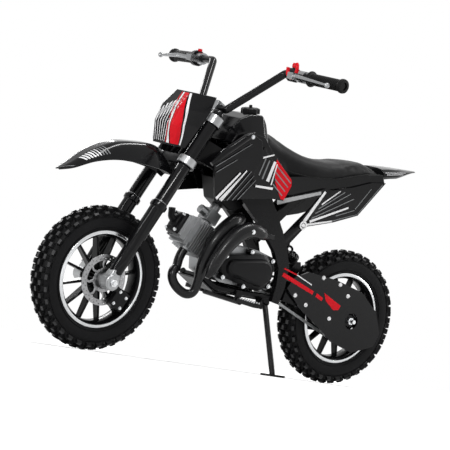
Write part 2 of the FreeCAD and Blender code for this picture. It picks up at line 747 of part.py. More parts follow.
def make_frame():
    head = cylinder(Vector(-val("axis_offset"), 0, val("clamp_low + clamp_thick + head_gap")), Z,
                    val("head_radius"), val("clamp_high - clamp_low - clamp_thick - 2 * head_gap"))
    head.Placement = FORK
    stem = cylinder(Vector(-val("axis_offset"), 0, 0), Z, val("stem_radius + stem_play"), 900)
    stem.Placement = FORK
    neck = fork(-val("axis_offset") - 16, 0, val("clamp_low + clamp_high + clamp_thick") / 2)
    thick = val("spar_thick")
    pieces = [head]
    # Columns: x, distance to the side, z, width
    spar = [(neck.x, 16, neck.z, 62), (540, 52, 566, 62), (425, 66, 488, 84), (372, 67, 435, 62),
            (318, 67, 372, 46), (290, 67, 318, 38), (286, 66, 262, 32), (294, 66, 214, 26)]
    for side in SIDES:
        pieces.append(for_side(bar(spar, thick), side))
        offset = val("cradle_offset")
        cradle = [Vector(290, offset, 226), Vector(410, offset, 227), Vector(505, offset - 2, 229.6),
                  Vector(545, offset - 8, 253.5)]
        pieces.append(for_side(pipe(cradle, val("cradle_radius")), side))
        rail = [Vector(400, 62, 520), Vector(240, val("rail_offset"), 541),
                Vector(-8, val("rail_offset") - 10, 610)]
        pieces.append(for_side(pipe(rail, val("rail_radius")), side))
        # Columns: x, distance to the side, z, width
        strut = [(312, 60, 372, 30), (255, 56, 440, 28), (150, 50, 562, 22)]
        pieces.append(for_side(bar(strut, 12), side))
    # Columns: x, z, radius, half length; tubes across the bike
    crossings = [(345, 226, 8, 60), (410, 234.7, 8, 53), (SHOCK_TOP.x, SHOCK_TOP.z, 11, 62),
                 (120, 581.7, 8, 48), (-2, 604, 8, 42), (536, 248.5, 8, 50), (512, 584.8, 8, 50),
                 (486, 536, 8, 52)]
    for x, z, radius, half in crossings:
        pieces.append(rod(Vector(x, -half, z), Y, radius, 2 * half, 10))
    frame = pieces[0].multiFuse(pieces[1:])
    pivot = across(val("pivot_x"), val("pivot_z"), val("pivot_radius") + 0.3, -54, 54)
    return frame.cut(stem).cut(pivot)


frame_shape = make_frame()

stand_root = Vector(338, 84, 212)
lean = math.radians(val("lean_angle"))
foot_side = 205
floor_drop = val("tread_half") * math.tan(lean)
stand_foot = Vector(352, foot_side, foot_side * math.tan(lean) - floor_drop)
stand_down = (stand_foot - stand_root).normalize()
stand_up = Vector(-0.985, 0.12, 0.12).normalize()
stand_axis = stand_down.cross(stand_up).normalize()

boss = cylinder(stand_root - stand_axis * 24, stand_axis, 10, 17.7)
bolt = cylinder(stand_root - stand_axis * 10, stand_axis, val("stand_pin"), 16.3)
head = cylinder(stand_root + stand_axis * 6.3, stand_axis, 9, 5)
tab = Part.makeBox(24, 14, 30, Vector(326, 57, 196))
feature("frame", frame_shape.fuse([boss, bolt, head, tab]))


def make_stand():
    """Side stand: eye, leg and foot plate."""
    eye = cylinder(stand_root - stand_axis * 6, stand_axis, 12, 12)
    leg = cylinder(stand_root + stand_down * 10.2, stand_down, val("stand_radius"),
                   (stand_foot - stand_root).Length - 16)
    hole = cylinder(stand_root - stand_axis * 30, stand_axis,
                    val("stand_pin + stand_play"), 60)
    sole = Part.makeBox(56, 40, 6, Vector(-28, -20, 0))
    sole.Placement = Placement(stand_foot, Rotation(X, val("lean_angle")))
    return feature("side_stand", eye.fuse([leg, sole]).cut(hole))


make_stand()


# Swingarm, shock and final drive

def make_swingarm():
    high = val("arm_high")
    offset = val("arm_offset")
    pivot = Vector(val("pivot_x"), 0, val("pivot_z"))
    pivot_tube = rod(Vector(pivot.x, 8 - offset, pivot.z), Y, val("pivot_radius"),
                     2 * offset - 16, 16)
    pieces = [pivot_tube]
    for side in SIDES:
        # Columns: x, distance to the side, z, width
        arm = [(pivot.x - 14, offset - 8, pivot.z, high), (205, offset, 232, high),
               (20, offset, axle_high + 2, high), (-34, offset, axle_high - 4, high - 6)]
        pieces.append(for_side(bar(arm, val("arm_thick")), side))
        # Columns: x, z; plate that carries the shock's lower eye
        plate = [(262, 236), (244, 270), (206, 336), (188, 338), (182, 322), (214, 262), (238, 228)]
        pieces.append(for_side(side_plate(plate, 15, 21), side))
    pieces.append(rod(Vector(222, 6 - offset, 246), Y, 11, 2 * offset - 12))
    arm = pieces[0].multiFuse(pieces[1:])
    hole = across(0, axle_high, val("axle_radius"), -120, 120)
    return feature("swingarm", arm.cut(hole))


def make_shock():
    """Rear shock: damper, spring rings, spring seats and eyes."""
    along = (SHOCK_TOP - SHOCK_FOOT).normalize()
    reach = (SHOCK_TOP - SHOCK_FOOT).Length
    pieces = [rod(SHOCK_FOOT, along, 15, reach), rod(SHOCK_FOOT + along * 14, along, 25, 6),
              rod(SHOCK_FOOT + along * (reach - 40), along, 25, 8),
              across(SHOCK_FOOT.x, SHOCK_FOOT.z, 10, -14.7, 14.7),
              across(SHOCK_TOP.x, SHOCK_TOP.z, 18, -14, 14)]
    turns = int(val("spring_turns"))
    for index in range(turns):
        ring = SHOCK_FOOT + along * (25 + index * (reach - 68) / turns)
        pieces.append(rod(ring, along, 23, 7))
    shock = pieces[0].multiFuse(pieces[1:])
    pin = across(SHOCK_TOP.x, SHOCK_TOP.z, 11.3, -60, 60)
    return feature("rear_shock", shock.cut(pin))


swingarm = make_swingarm()
make_shock()

drive = Vector(val("drive_x"), 0, val("drive_z"))
driven = Vector(0, 0, axle_high)


def belt_face(small, large):
    """Face inside the outer line round two wheels, at the middle of the bike."""
    span = drive - driven
    turn = math.atan2(span.z, span.x)
    open_angle = math.acos((large - small) / span.Length)

    def rim_point(centre, radius, angle):
        return centre + Vector(math.cos(angle), 0, math.sin(angle)) * radius

    upper, lower = turn + open_angle, turn - open_angle
    edges = [Part.LineSegment(rim_point(driven, large, upper),
                              rim_point(drive, small, upper)).toShape(),
             Part.Arc(rim_point(drive, small, upper), rim_point(drive, small, turn),
                      rim_point(drive, small, lower)).toShape(),
             Part.LineSegment(rim_point(drive, small, lower),
                              rim_point(driven, large, lower)).toShape(),
             Part.Arc(rim_point(driven, large, lower), rim_point(driven, large, turn + math.pi),
                      rim_point(driven, large, upper)).toShape()]
    return Part.Face(Part.Wire(edges))


def make_chain():
    """Chain round both sprockets."""
    inner = val("chain_gap")
    outer = inner + val("chain_high")
    small, large = val("drive_radius"), val("sprocket_radius")
    band = belt_face(small + outer, large + outer).cut(belt_face(small + inner, large + inner))
    band.translate(Y * (val("chain_offset") - val("chain_wide") / 2))
    return feature("chain", band.extrude(Y * val("chain_wide")))


make_chain()


def make_chain_guard():
    """Cover over the chain and sprocket, outside the left arm."""
    near = val(arm_out) + 4
    # Columns: x, z
    edge = [(262, 262), (246, 294), (196, 318), (86, 309), (-17, 286), (-88, 236), (-118, 175),
            (-104, 134), (-25, 108), (60, 130), (120, 166), (205, 214)]
    guard = side_plate(edge, near, near + val("panel_thick"))
    guard = guard.cut(across(0, axle_high, 24, near - 5, near + 20))
    for x, z in ((190, 238), (60, 214), (-30, 194)):
        guard = guard.fuse(across(x, z, 7, val(arm_out), near))
    return feature("chain_guard", guard)


def make_rear_caliper():
    """Rear brake caliper on the right arm, round the edge of the disc."""
    body = Part.makeBox(46, 30, 40, Vector(34, -56, axle_high - 52))
    slot = across(0, axle_high, val("rear_disc_radius") + 3, -val("hub_half + disc_thick") - 2,
                  2 - val("hub_half"))
    stay = Part.makeBox(22, 12, 50, Vector(44, -val(arm_in) - 12, axle_high - 50))
    return feature("rear_caliper", body.cut(slot).fuse(stay).cut(swingarm.Shape))


make_chain_guard()
make_rear_caliper()


# Engine

tilt = math.radians(val("cylinder_tilt"))
bore_line = Vector(math.sin(tilt), 0, math.cos(tilt))
barrel_foot = Vector(498, 0, 322)
CYLINDER = Placement(barrel_foot, Rotation(Y, val("cylinder_tilt")))
PORT_ASIDE, PORT_UP, PORT_OUT = 12, 92, 50


def outline_round(circles, grow):
    """Outline of (x, z) points round two discs of (x, z, radius), the rear one first."""
    points = []
    for (x, z, radius), first in zip(circles, (90, -90)):
        for turn in range(first, first + 181, 20):
            angle = math.radians(turn)
            reach = radius + grow
            points.append((x + reach * math.cos(angle), z + reach * math.sin(angle)))
    return points


def layered(outlines):
    """A moulded cover through (distance to the side, outline) layers."""
    return skin([[Vector(x, aside, z) for x, z in edge] for aside, edge in outlines])


def make_engine_case():
    half = val("case_half")
    # Columns: x, z
    edge = [(522, 262), (530, 300), (512, 340), (470, 352), (380, 352), (318, 338), (304, 318),
            (300, 250), (330, 240), (490, 246)]
    case = side_plate(edge, -half, half)
    shaft = rod(Vector(drive.x, 20, drive.z), Y, 8, half - 20, 8)
    recess = rod(Vector(drive.x, val("chain_offset - chain_wide / 2") - 2, drive.z), Y,
                 val("drive_radius + chain_gap + chain_high") + 3, 30, 16)
    slot = side_plate([(200, 180), (drive.x + 8, drive.z - 33), (drive.x + 8, drive.z + 33),
                       (200, 320)], val("chain_offset - chain_wide / 2") - 2, half + 1)
    gear = toothed(val("drive_radius"), int(val("drive_teeth")), val("sprocket_thick"))
    gear.Placement = Placement(drive + Y * val("chain_offset"), ALONG_Y)
    case = case.cut(recess).cut(slot).fuse([shaft, gear])
    barrel = rod(barrel_foot - bore_line * 40, bore_line, 38, 40 + val("case_top"), 16)
    return feature("engine_case", case.fuse(barrel))


def make_cylinder():
    """Finned cylinder with its head, drawn with z along the bore."""
    foot = val("case_top")
    high, half = val("fin_high"), val("fin_half")
    core = val("cylinder_radius")
    pieces = [Part.makeBox(2 * core, 2 * core, 148 - foot, Vector(-core, -core, foot))]
    for index in range(int(val("fin_count"))):
        start = 42 + index * val("fin_pitch")
        pieces.append(Part.makeBox(high, 2 * half, val("fin_thick"),
                                   Vector(-high / 2, -half, start)))
    crown = Part.makeBox(high - 8, 2 * half - 8, 10, Vector(4 - high / 2, 4 - half, 112))
    base = Part.makeBox(72, 72, 12, Vector(-36, -36, foot))
    port = rod(Vector(0, PORT_ASIDE, PORT_UP), X, 18, PORT_OUT)
    pieces += [crown, base, port]
    for aside in (-30, -18, -6, 6, 18, 30):
        pieces.append(Part.makeBox(high - 20, 3, 20, Vector(10 - high / 2, aside - 1.5, 120)))
    return feature("engine_cylinder", pieces[0].multiFuse(pieces[1:]), CYLINDER)


def make_clutch_cover():
    """Raised oval cover on the left of the crankcase, with its bolt bosses."""
    near = val("case_half")
    discs = ((372, 292, 52), (470, 294, 36))
    layers = [(near, 0), (near + 16, 0), (near + 20, -6), (near + 22, -12), (near + 32, -15),
              (near + 36, -21)]
    cover = layered([(aside, outline_round(discs, grow)) for aside, grow in layers])
    # Columns: x, z
    for x, z in ((333, 330), (330, 258), (412, 346), (418, 246), (498, 322), (496, 262)):
        cover = cover.fuse(rod(Vector(x, near, z), Y, 8, 20, 8))
    return feature("clutch_cover", cover)


def make_starter():
    """Recoil starter housing on the right, with the ribs of its air inlet."""
    near = -val("case_half")
    layers = [(near, 56), (near - 18, 56), (near - 26, 48), (near - 28, 34), (near - 34, 30)]
    cover = tube([(Vector(420, aside, 296), radius) for aside, radius in layers], 20)
    for turn in range(0, 360, 45):
        rib = Part.makeBox(14, 8, 4, Vector(33, near - 30, -2))
        rib.Placement = Placement(Vector(420, 0, 296), Rotation(Y, turn))
        cover = cover.fuse(rib)
    return feature("recoil_starter", cover)


def make_air_box():
    """Air box under the tank, between the spars."""
    # Columns: x, z
    edge = [(560, 528), (536, 468), (500, 446), (470, 452), (440, 470), (430, 500), (470, 528)]
    return feature("air_box", side_plate(edge, -40, 40))


def make_intake():
    """Carburettor between the cylinder and the air box, drawn in the cylinder's frame."""
    start = -val("fin_high") / 2
    throat = rod(Vector(start, -8, 64), X * -1, 15, 76)
    flange = Part.makeBox(6, 52, 36, Vector(start - 6, -34, 46))
    bowl = Part.makeBox(36, 42, 40, Vector(start - 48, -29, 44))
    cap = rod(Vector(start - 30, -8, 84), Z, 13, 22, 8)
    intake = throat.multiFuse([flange, bowl, cap])
    intake.Placement = CYLINDER
    return feature("carburettor", intake.cut(air_box.Shape))


make_engine_case()
make_cylinder()
make_clutch_cover()
make_starter()
air_box = make_air_box()
make_intake()


def make_spark_plug():
    """Plug and its angled cap on the cylinder head."""
    plug = rod(Vector(0, 0, 148), Z, 7, 16, 6)
    cap = pipe([Vector(0, 0, 160), Vector(0, 0, 178), Vector(-22, 0, 192)], 10, 12, 8)
    return feature("spark_plug", plug.fuse(cap), CYLINDER)


# Columns: x, distance to the side, z, radius
CHAMBER = [(572, 66, 242, 14), (568, 67, 290, 18), (552, 68, 344, 21), (520, 66, 390, 23),
           (486, 58, 420, 21), (458, 46, 432, 17)]


def make_header():
    """Exhaust header, down from the cylinder and round to the chamber."""
    port = CYLINDER.multVec(Vector(PORT_OUT, PORT_ASIDE, PORT_UP))
    out = CYLINDER.Rotation.multVec(X)
    first, second = [Vector(*station[:3]) for station in CHAMBER[:2]]
    last_run = (second - first).normalize()
    route = [port, port + out * 22, Vector(636, 30, 262), Vector(624, 46, 216),
             Vector(594, 60, 196), first - last_run * 26, first]
    return feature("exhaust_header", pipe(route, val("header_radius")))


def make_chamber():
    return feature("exhaust_chamber", tapered_pipe(CHAMBER))


def make_silencer():
    """Curved silencer outside the chamber, with a stay to the left spar."""
    # Columns: x, distance to the side, z, radius
    stations = [(575, 109, 262, 8), (570, 110, 276, 16), (554, 111, 318, 20), (528, 111, 362, 22),
                (489, 111, 398, 23), (448, 110, 408, 22), (420, 108, 402, 19), (404, 106, 394, 11)]
    can = tapered_pipe(stations)
    face = 67 + val("spar_thick") / 2
    stay = side_plate([(350, 392), (414, 386), (414, 404), (350, 410)], face, face + 4)
    post = across(408, 396, 7, face + 4, 104)
    return feature("silencer", can.fuse([stay, post]))


make_spark_plug()
make_header()
make_chamber()
make_silencer()


# Bodywork

def slab(x, low, high, half, top_half, shoulder):
    """Section across the bike: flat bottom, upright sides and a rounded top."""
    rise = high - low
    points = [(-half * 0.9, low), (half * 0.9, low), (half, low + rise * 0.25),
              (half, low + rise * shoulder), (top_half, high - rise * 0.08), (top_half * 0.5, high),
              (-top_half * 0.5, high), (-top_half, high - rise * 0.08),
              (-half, low + rise * shoulder), (-half, low + rise * 0.25)]
    return [Vector(x, side, z) for side, z in points]


def body_of(sections):
    return skin([slab(*section) for section in sections])


def make_tank():
    half = val("tank_half")
    # Columns: x, z
    edge = [(572, 634), (548, 690), (505, 716), (432, 729), (430, 560), (527, 600)]
    tank = side_plate(edge, -half, half)
    edges = [edge for edge in tank.Edges
             if abs(abs(edge.CenterOfMass.y) - half) < 0.1 and edge.CenterOfMass.z > 650]
    return feature("fuel_tank", tank.makeFillet(18, edges))


def make_cap():
    """Lobed fuel cap with its vent."""
    seat = Vector(468, 0, 722.6)
    up = Vector(13, 0, 73).normalize()
    lobes = int(val("cap_lobes"))
    edge = []
    for index in range(lobes * 6):
        turn = Rotation(up, 60 * index / lobes)
        reach = 25 + 2.5 * math.cos(math.radians(60 * index))
        edge.append(seat + turn.multVec(up.cross(Y)) * reach)
    cap = skin([edge, [corner + up * 13 for corner in edge],
                [seat + (corner - seat) * 0.86 + up * 16 for corner in edge]])
    vent = rod(seat + up * 15, up, 5, 9, 8)
    return feature("fuel_cap", cap.fuse(vent))


def make_seat():
    half = val("seat_half")
    # Columns: x, bottom, top, half width, half width of the top, shoulder
    sections = [(428, 600, 694, 56, 34, 0.7), (368, 560, 664, 66, 44, 0.7),
                (306, 560, 641, 76, 56, 0.7), (247, 565, 631, half, 64, 0.7),
                (189, 570, 631, half, 66, 0.7), (120, 592, 644, half - 4, 62, 0.7),
                (50, 611, 650, half - 14, 52, 0.7), (-14, 624, 638, half - 30, 40, 0.7)]
    return feature("seat", body_of(sections))


def make_tail():
    # Columns: x, bottom, top, half width, half width of the top, shoulder
    sections = [(-14.3, 618, 650, 60, 46, 0.6), (-75, 630, 657, 54, 40, 0.6),
                (-130, 648, 660, 34, 22, 0.6), (-178, 658, 662, 8, 5, 0.6)]
    tongue = Part.makeBox(46, 60, 6, Vector(-46, -30, 612.3))
    web = Part.makeBox(24, 60, 12, Vector(-46, -30, 612.3))
    return feature("tail_fender", body_of(sections).fuse([tongue, web]))


def make_shroud(side, label):
    """Radiator shroud: panel, raised front part, scoop along its top and a fan of ribs."""
    near = val("shroud_offset")
    # Columns: x, z
    panel = [(600, 600), (513, 669), (472, 666), (433, 628), (411, 613), (364, 514), (399, 503),
             (519, 484)]
    front = [(630, 568), (600, 600), (520, 667), (490, 655), (519, 484), (600, 467)]
    shroud = side_plate(panel, near, near + 5).fuse(side_plate(front, near + 3, near + 13))
    scoop = [Vector(634, near + 8, 568), Vector(600, near + 9, 604), Vector(520, near + 7, 668)]
    pieces = [tube([(point, radius) for point, radius in zip(scoop, (7, 11, 8))], 8)]
    # Columns: x and z of both ends of a rib
    for low_x, low_z, high_x, high_z in ((505, 500, 566, 616), (528, 490, 592, 596),
                                         (552, 485, 612, 578), (577, 479, 626, 562)):
        run = [Vector(low_x, near + 13, low_z), Vector(high_x, near + 13, high_z)]
        pieces.append(tube([(point, 4) for point in run], 6))
    for x, z in ((500, 640), (460, 600)):
        pieces.append(rod(Vector(x, val("tank_half"), z), Y, 8, near + 1 - val("tank_half"), 8))
    return feature(label, for_side(shroud.multiFuse(pieces), side))


def make_side_panel(side, label):
    """Rear side panel: V-shaped frame with an open middle, and the bar to the tank."""
    near = 77
    # Columns: x, z
    edge = [(262, 440), (272, 458), (206, 560), (180, 560), (107, 580), (41, 604), (-10, 611),
            (69, 503), (155, 470)]
    bar_edge = [(375, 502), (206, 560), (222, 532), (298, 512), (367, 488)]
    window = [(232, 470), (196, 528), (160, 540), (122, 534), (166, 488)]
    panel = side_plate(edge, near, near + 5).cut(side_plate(window, near - 1, near + 6))
    pieces = [side_plate(bar_edge, near, near + 6), rod(Vector(262, near, 446), Y, 13, 8, 16)]
    # Columns: x, z, side of what carries it
    for x, z, seat in ((262, 446, 63), (148, 560, 57)):
        pieces.append(rod(Vector(x, seat, z), Y, 8, near + 1 - seat, 8))
    return feature(label, for_side(panel.multiFuse(pieces), side))


def make_skid_plate():
    # Columns: x, z
    edge = [(316, 213), (410, 214), (505, 216.4), (556, 243), (554, 246), (504, 219.6), (410, 217.6),
            (316, 216.6)]
    return feature("skid_plate", side_plate(edge, -56, 56))


def make_pegs():
    """Foot pegs on their crossbar under the engine."""
    pieces = [across(425, 203, 9, -84, 84)]
    for side in SIDES:
        pieces.append(for_side(Part.makeBox(26, 78, 12, Vector(412, 84, 200)), side))
        pieces.append(for_side(Part.makeBox(20, 6, 30, Vector(415, 66.6, 203)), side))
    return feature("foot_pegs", pieces[0].multiFuse(pieces[1:]))


make_tank()
make_cap()
make_seat()
make_tail()
for side, word in ((LEFT, "left"), (RIGHT, "right")):
    make_shroud(side, "shroud_" + word)
    make_side_panel(side, "side_panel_" + word)
make_skid_plate()
make_pegs()


# Lean the whole bike over, its box centred over the origin and its lowest point on the floor

def place_all(over):
    for thing, frame in nodes:
        thing.Placement = over.multiply(frame)
    doc.recompute()


tipped = Placement(Vector(), Rotation(X, -val("lean_angle")))
doc.recompute()
place_all(tipped)
box = Part.makeCompound([thing.Shape for thing, frame in nodes]).optimalBoundingBox(False)
shift = Vector(-(box.XMin + box.XMax) / 2, -(box.YMin + box.YMax) / 2, -box.ZMin)
PARKED = Placement(shift, tipped.Rotation)
place_all(PARKED)

for thing in doc.Objects:
    if "Invalid" in thing.State or "Error" in thing.State:
        raise RuntimeError("%s did not build" % thing.Label)
for thing, frame in nodes:
    if thing.Shape.isNull() or not thing.Shape.isValid():
        raise RuntimeError("%s has no valid shape" % thing.Label)
for thing, frame in nodes:
    thing.Shape.exportStep("parts/%s.step" % thing.Label)
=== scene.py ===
import json
import math

import bmesh
import bpy
from mathutils import Matrix, Vector


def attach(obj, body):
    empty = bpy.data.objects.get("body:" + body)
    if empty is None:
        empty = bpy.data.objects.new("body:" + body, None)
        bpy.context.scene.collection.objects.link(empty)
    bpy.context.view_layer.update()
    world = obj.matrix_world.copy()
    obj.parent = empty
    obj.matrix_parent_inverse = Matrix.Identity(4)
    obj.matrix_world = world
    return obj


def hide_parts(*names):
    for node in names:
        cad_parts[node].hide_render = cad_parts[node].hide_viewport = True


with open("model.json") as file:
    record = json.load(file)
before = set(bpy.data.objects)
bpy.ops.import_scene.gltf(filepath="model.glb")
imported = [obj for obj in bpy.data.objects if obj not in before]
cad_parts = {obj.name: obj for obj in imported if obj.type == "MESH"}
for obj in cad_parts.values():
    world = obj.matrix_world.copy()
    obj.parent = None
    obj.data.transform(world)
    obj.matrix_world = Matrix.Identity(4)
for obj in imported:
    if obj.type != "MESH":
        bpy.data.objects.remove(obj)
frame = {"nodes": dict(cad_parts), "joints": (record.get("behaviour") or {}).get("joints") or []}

bl_info = {
    "name": "Kids Dirt Bike",
    "version": (1, 0, 0),
    "blender": (4, 5, 0),
    "location": "View3D > Sidebar > Dirt Bike",
    "description": "Dresses the packed model of a kids dirt bike and lights it",
    "category": "Object",
}

nodes = frame["nodes"]

# The bike is drawn upright in millimetres, +X forwards, +Y to the rider's left, the origin
# under the rear axle. The parked bike leans to its left and stands over the frame's origin.
MM = 0.001
WHEELBASE = 863
AXLE_UP = 198
WHEEL_STEPS = 96
SIDES = (1, -1)
WORDS = {1: "left", -1: "right"}


def moved(x, y, z):
    return Matrix.Translation((x, y, z))


def turned(degrees, axis):
    return Matrix.Rotation(math.radians(degrees), 4, axis)


def part_turned(part, whole):
    """A turn round z by a part of the whole circle."""
    return Matrix.Rotation(math.tau * part / whole, 4, "Z")


LEAN = turned(-7, "X")
STEERING = Vector(next(j["pos_m"] for j in frame["joints"] if j["name"] == "steering"))
PARKED = moved(*(STEERING - LEAN @ Vector((0.67124, 0, 0.52879)))) @ LEAN
BIKE = PARKED @ Matrix.Scale(MM, 4)
FRONT_AXLE = BIKE @ moved(WHEELBASE, 0, AXLE_UP)
FRONT = FRONT_AXLE @ turned(-90, "X")
REAR = BIKE @ moved(0, 0, AXLE_UP) @ turned(-90, "X")
FORK = FRONT_AXLE @ turned(-25.3, "Y")
FORK_HALF = 64
BORE = BIKE @ moved(498, 0, 322) @ turned(65, "Y")


def outward(x, y, z, side=1, base=BIKE):
    """A place on a side of the bike with its z axis pointing out."""
    return base @ moved(x, y, z) @ turned(-side * 90, "X")


def aimed(point, direction):
    """A place at a point with its z axis in a direction."""
    turn = direction.to_track_quat("Z", "Y").to_matrix().to_4x4()
    return BIKE @ moved(*point) @ turn


class DirtBikeSizes(bpy.types.PropertyGroup):
    """Sizes of the pieces that the scene makes"""
    tread_rows: bpy.props.IntProperty(
        name="Tread rows", description="Rows of blocks round a tyre", default=34, min=12)
    block_high: bpy.props.FloatProperty(
        name="Block height", description="Height of a tread block in millimetres", default=12)
    spokes: bpy.props.IntProperty(
        name="Spokes", description="Cast spokes in a wheel", default=12, min=3)
    disc_holes: bpy.props.IntProperty(
        name="Disc holes", description="Holes in each row round a brake disc", default=24, min=6)
    spring_turns: bpy.props.FloatProperty(
        name="Spring turns", description="Turns of the rear spring", default=6.5, min=2)
    edge_round: bpy.props.FloatProperty(
        name="Edge rounding", description="Rounding of moulded and machined edges",
        default=0.0016, unit="LENGTH")


class DirtBikeColours(bpy.types.PropertyGroup):
    """Colours of the bike's finishes"""
    plastic: bpy.props.FloatVectorProperty(
        name="Bodywork", description="Gloss bodywork", subtype="COLOR",
        default=(0.004, 0.004, 0.0045))
    accent: bpy.props.FloatVectorProperty(
        name="Accent", description="Red of the graphics and the knob", subtype="COLOR",
        default=(0.60, 0.004, 0.012))
    stripe: bpy.props.FloatVectorProperty(
        name="Stripes", description="White of the graphics", subtype="COLOR",
        default=(0.80, 0.80, 0.81))
    faint: bpy.props.FloatVectorProperty(
        name="Faint stripes", description="Grey of the graphics", subtype="COLOR",
        default=(0.16, 0.165, 0.17))
    rubber: bpy.props.FloatVectorProperty(
        name="Rubber", description="Tyres", subtype="COLOR", default=(0.006, 0.006, 0.0065))
    metal: bpy.props.FloatVectorProperty(
        name="Bright metal", description="Machined and plated parts", subtype="COLOR",
        default=(0.62, 0.63, 0.64))


def sizes():
    return bpy.context.scene.dirt_bike_sizes


# Finishes

BLACK = (0.006, 0.006, 0.0065)
PAINT = (0.004, 0.004, 0.0045)

# Colour, or the property that has it, then roughness, grain, dent of the grain, metal,
# spread of the colour and specular level
LOOKS = {
    "gloss_plastic": ("plastic", 0.12, 60, 0.02, 0, 0.25, 0.16),
    "dull_plastic": (BLACK, 0.4, 900, 0.15, 0, 0.25, 0.1),
    "frame_paint": (PAINT, 0.18, 90, 0.03, 0, 0.25, 0.12),
    "black_metal": (BLACK, 0.32, 700, 0.1, 0, 0.25, 0.12),
    "exhaust_black": (BLACK, 0.25, 350, 0.05, 0, 0.25, 0.22),
    "bright_metal": ("metal", 0.22, 800, 0.05, 1, 0.12, 0.5),
    "cast_alloy": ((0.26, 0.265, 0.27), 0.42, 900, 0.3, 0.85, 0.25, 0.5),
    "tyre_rubber": ("rubber", 0.42, 1100, 0.15, 0, 0.35, 0.08),
    # Lighter grey for the caps on the tread blocks' tops: a painted highlight of their lit tops,
    # not wear
    "worn_rubber": ((0.035, 0.035, 0.036), 0.38, 900, 0.15, 0, 0.7, 0.2),
    "grip_rubber": ((0.005, 0.005, 0.005), 0.5, 1300, 0.2, 0, 0.25, 0.1),
    "rim_paint": (PAINT, 0.24, 300, 0.05, 0, 0.25, 0.12),
    "accent_red": ("accent", 0.3, 200, 0.03, 0, 0.12, 0.12),
    "stripe_white": ("stripe", 0.32, 200, 0.02, 0, 0.04, 0.5),
    "stripe_grey": ("faint", 0.35, 200, 0.02, 0, 0.1, 0.5),
    "lever_alloy": ((0.27, 0.275, 0.28), 0.28, 700, 0.06, 1, 0.15, 0.5),
    "satin_alloy": ((0.34, 0.345, 0.35), 0.36, 600, 0.12, 0.9, 0.25, 0.5),
    "disc_steel": ((0.3, 0.3, 0.305), 0.3, 600, 0.1, 1, 0.3, 0.5),
    "panel_grey": ((0.34, 0.345, 0.35), 0.4, 300, 0.05, 0, 0.15, 0.5),
    "seat_vinyl": ((0.005, 0.005, 0.0052), 0.45, 1500, 0.12, 0, 0.3, 0.1),
}


def node(tree, kind, **values):
    """A shader node with values on its inputs."""
    made = tree.nodes.new("ShaderNode" + kind)
    for name, value in values.items():
        made.inputs[name.replace("_", " ")].default_value = value
    return made


def finish(name):
    """A finish with uneven colour and gloss and a fine grain, on the piece's own place."""
    label = name + "_finish"
    if label in bpy.data.materials:
        return bpy.data.materials[label]
    colour, roughness, grain, dent, metal, vary, shine = LOOKS[name]
    if isinstance(colour, str):
        colour = getattr(bpy.context.scene.dirt_bike_colours, colour)
    material = bpy.data.materials.new(label)
    material.use_nodes = True
    tree = material.node_tree
    shader = tree.nodes["Principled BSDF"]
    shader.inputs["Metallic"].default_value = metal
    shader.inputs["Specular IOR Level"].default_value = shine
    place = node(tree, "TexCoord").outputs["Object"]
    cloud = node(tree, "TexNoise", Scale=22, Detail=5)
    tone = node(tree, "Mix")
    tone.data_type = "RGBA"
    tone.inputs["A"].default_value = [part * (1 - vary) for part in colour] + [1]
    tone.inputs["B"].default_value = [min(1, part * (1 + vary)) for part in colour] + [1]
    gloss = node(tree, "MapRange", To_Min=roughness * 0.8, To_Max=roughness * 1.25)
    fine = node(tree, "TexNoise", Scale=grain, Detail=3)
    bump = node(tree, "Bump", Strength=dent, Distance=0.0006)
    join = tree.links.new
    join(place, cloud.inputs["Vector"])
    join(place, fine.inputs["Vector"])
    join(cloud.outputs["Fac"], tone.inputs["Factor"])
    join(cloud.outputs["Fac"], gloss.inputs["Value"])
    join(fine.outputs["Fac"], bump.inputs["Height"])
    join(tone.outputs["Result"], shader.inputs["Base Color"])
    join(gloss.outputs["Result"], shader.inputs["Roughness"])
    if name == "seat_vinyl":
        # Pores and a faint sheen
        cells = node(tree, "TexVoronoi", Scale=520)
        cells.feature = "DISTANCE_TO_EDGE"
        pores = node(tree, "Bump", Strength=0.35, Distance=0.0005)
        join(place, cells.inputs["Vector"])
        join(cells.outputs["Distance"], pores.inputs["Height"])
        join(bump.outputs["Normal"], pores.inputs["Normal"])
        shader.inputs["Sheen Weight"].default_value = 0.04
        bump = pores
    join(bump.outputs["Normal"], shader.inputs["Normal"])
    return material


# Pieces

def linked(name, data):
    """A new object in the scene."""
    obj = bpy.data.objects.new(name, data)
    bpy.context.scene.collection.objects.link(obj)
    return obj


def mesh_of(name, bm):
    """The mesh of a bmesh that isn't needed any more."""
    mesh = bpy.data.meshes.new(name)
    bm.to_mesh(mesh)
    bm.free()
    return mesh


def result_of(obj):
    """A mesh of an object as its modifiers leave it."""
    bpy.context.view_layer.update()
    graph = bpy.context.evaluated_depsgraph_get()
    return bpy.data.meshes.new_from_object(obj.evaluated_get(graph))


def modified(obj, kind, **values):
    """Add a modifier with its settings."""
    made = obj.modifiers.new(kind.lower(), kind)
    for name, value in values.items():
        setattr(made, name, value)
    return made


def piece(name, bm, looks, body, slot, *replaced, smooth=38):
    """Put a bmesh in the scene as a piece of the bike."""
    mesh = mesh_of(name, bm)
    obj = linked(name, mesh)
    for look in [looks] if isinstance(looks, str) else looks:
        mesh.materials.append(finish(look))
    mesh.shade_smooth()
    mesh.set_sharp_from_angle(angle=math.radians(smooth))
    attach(obj, body)
    if replaced:
        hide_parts(*replaced)
    return obj


def rounded(obj, width=None, segments=2, angle=32):
    """Round a piece's edges as moulding and machining leave them."""
    modified(obj, "BEVEL", width=width or sizes().edge_round, segments=segments,
             limit_method="ANGLE", angle_limit=math.radians(angle), harden_normals=True)


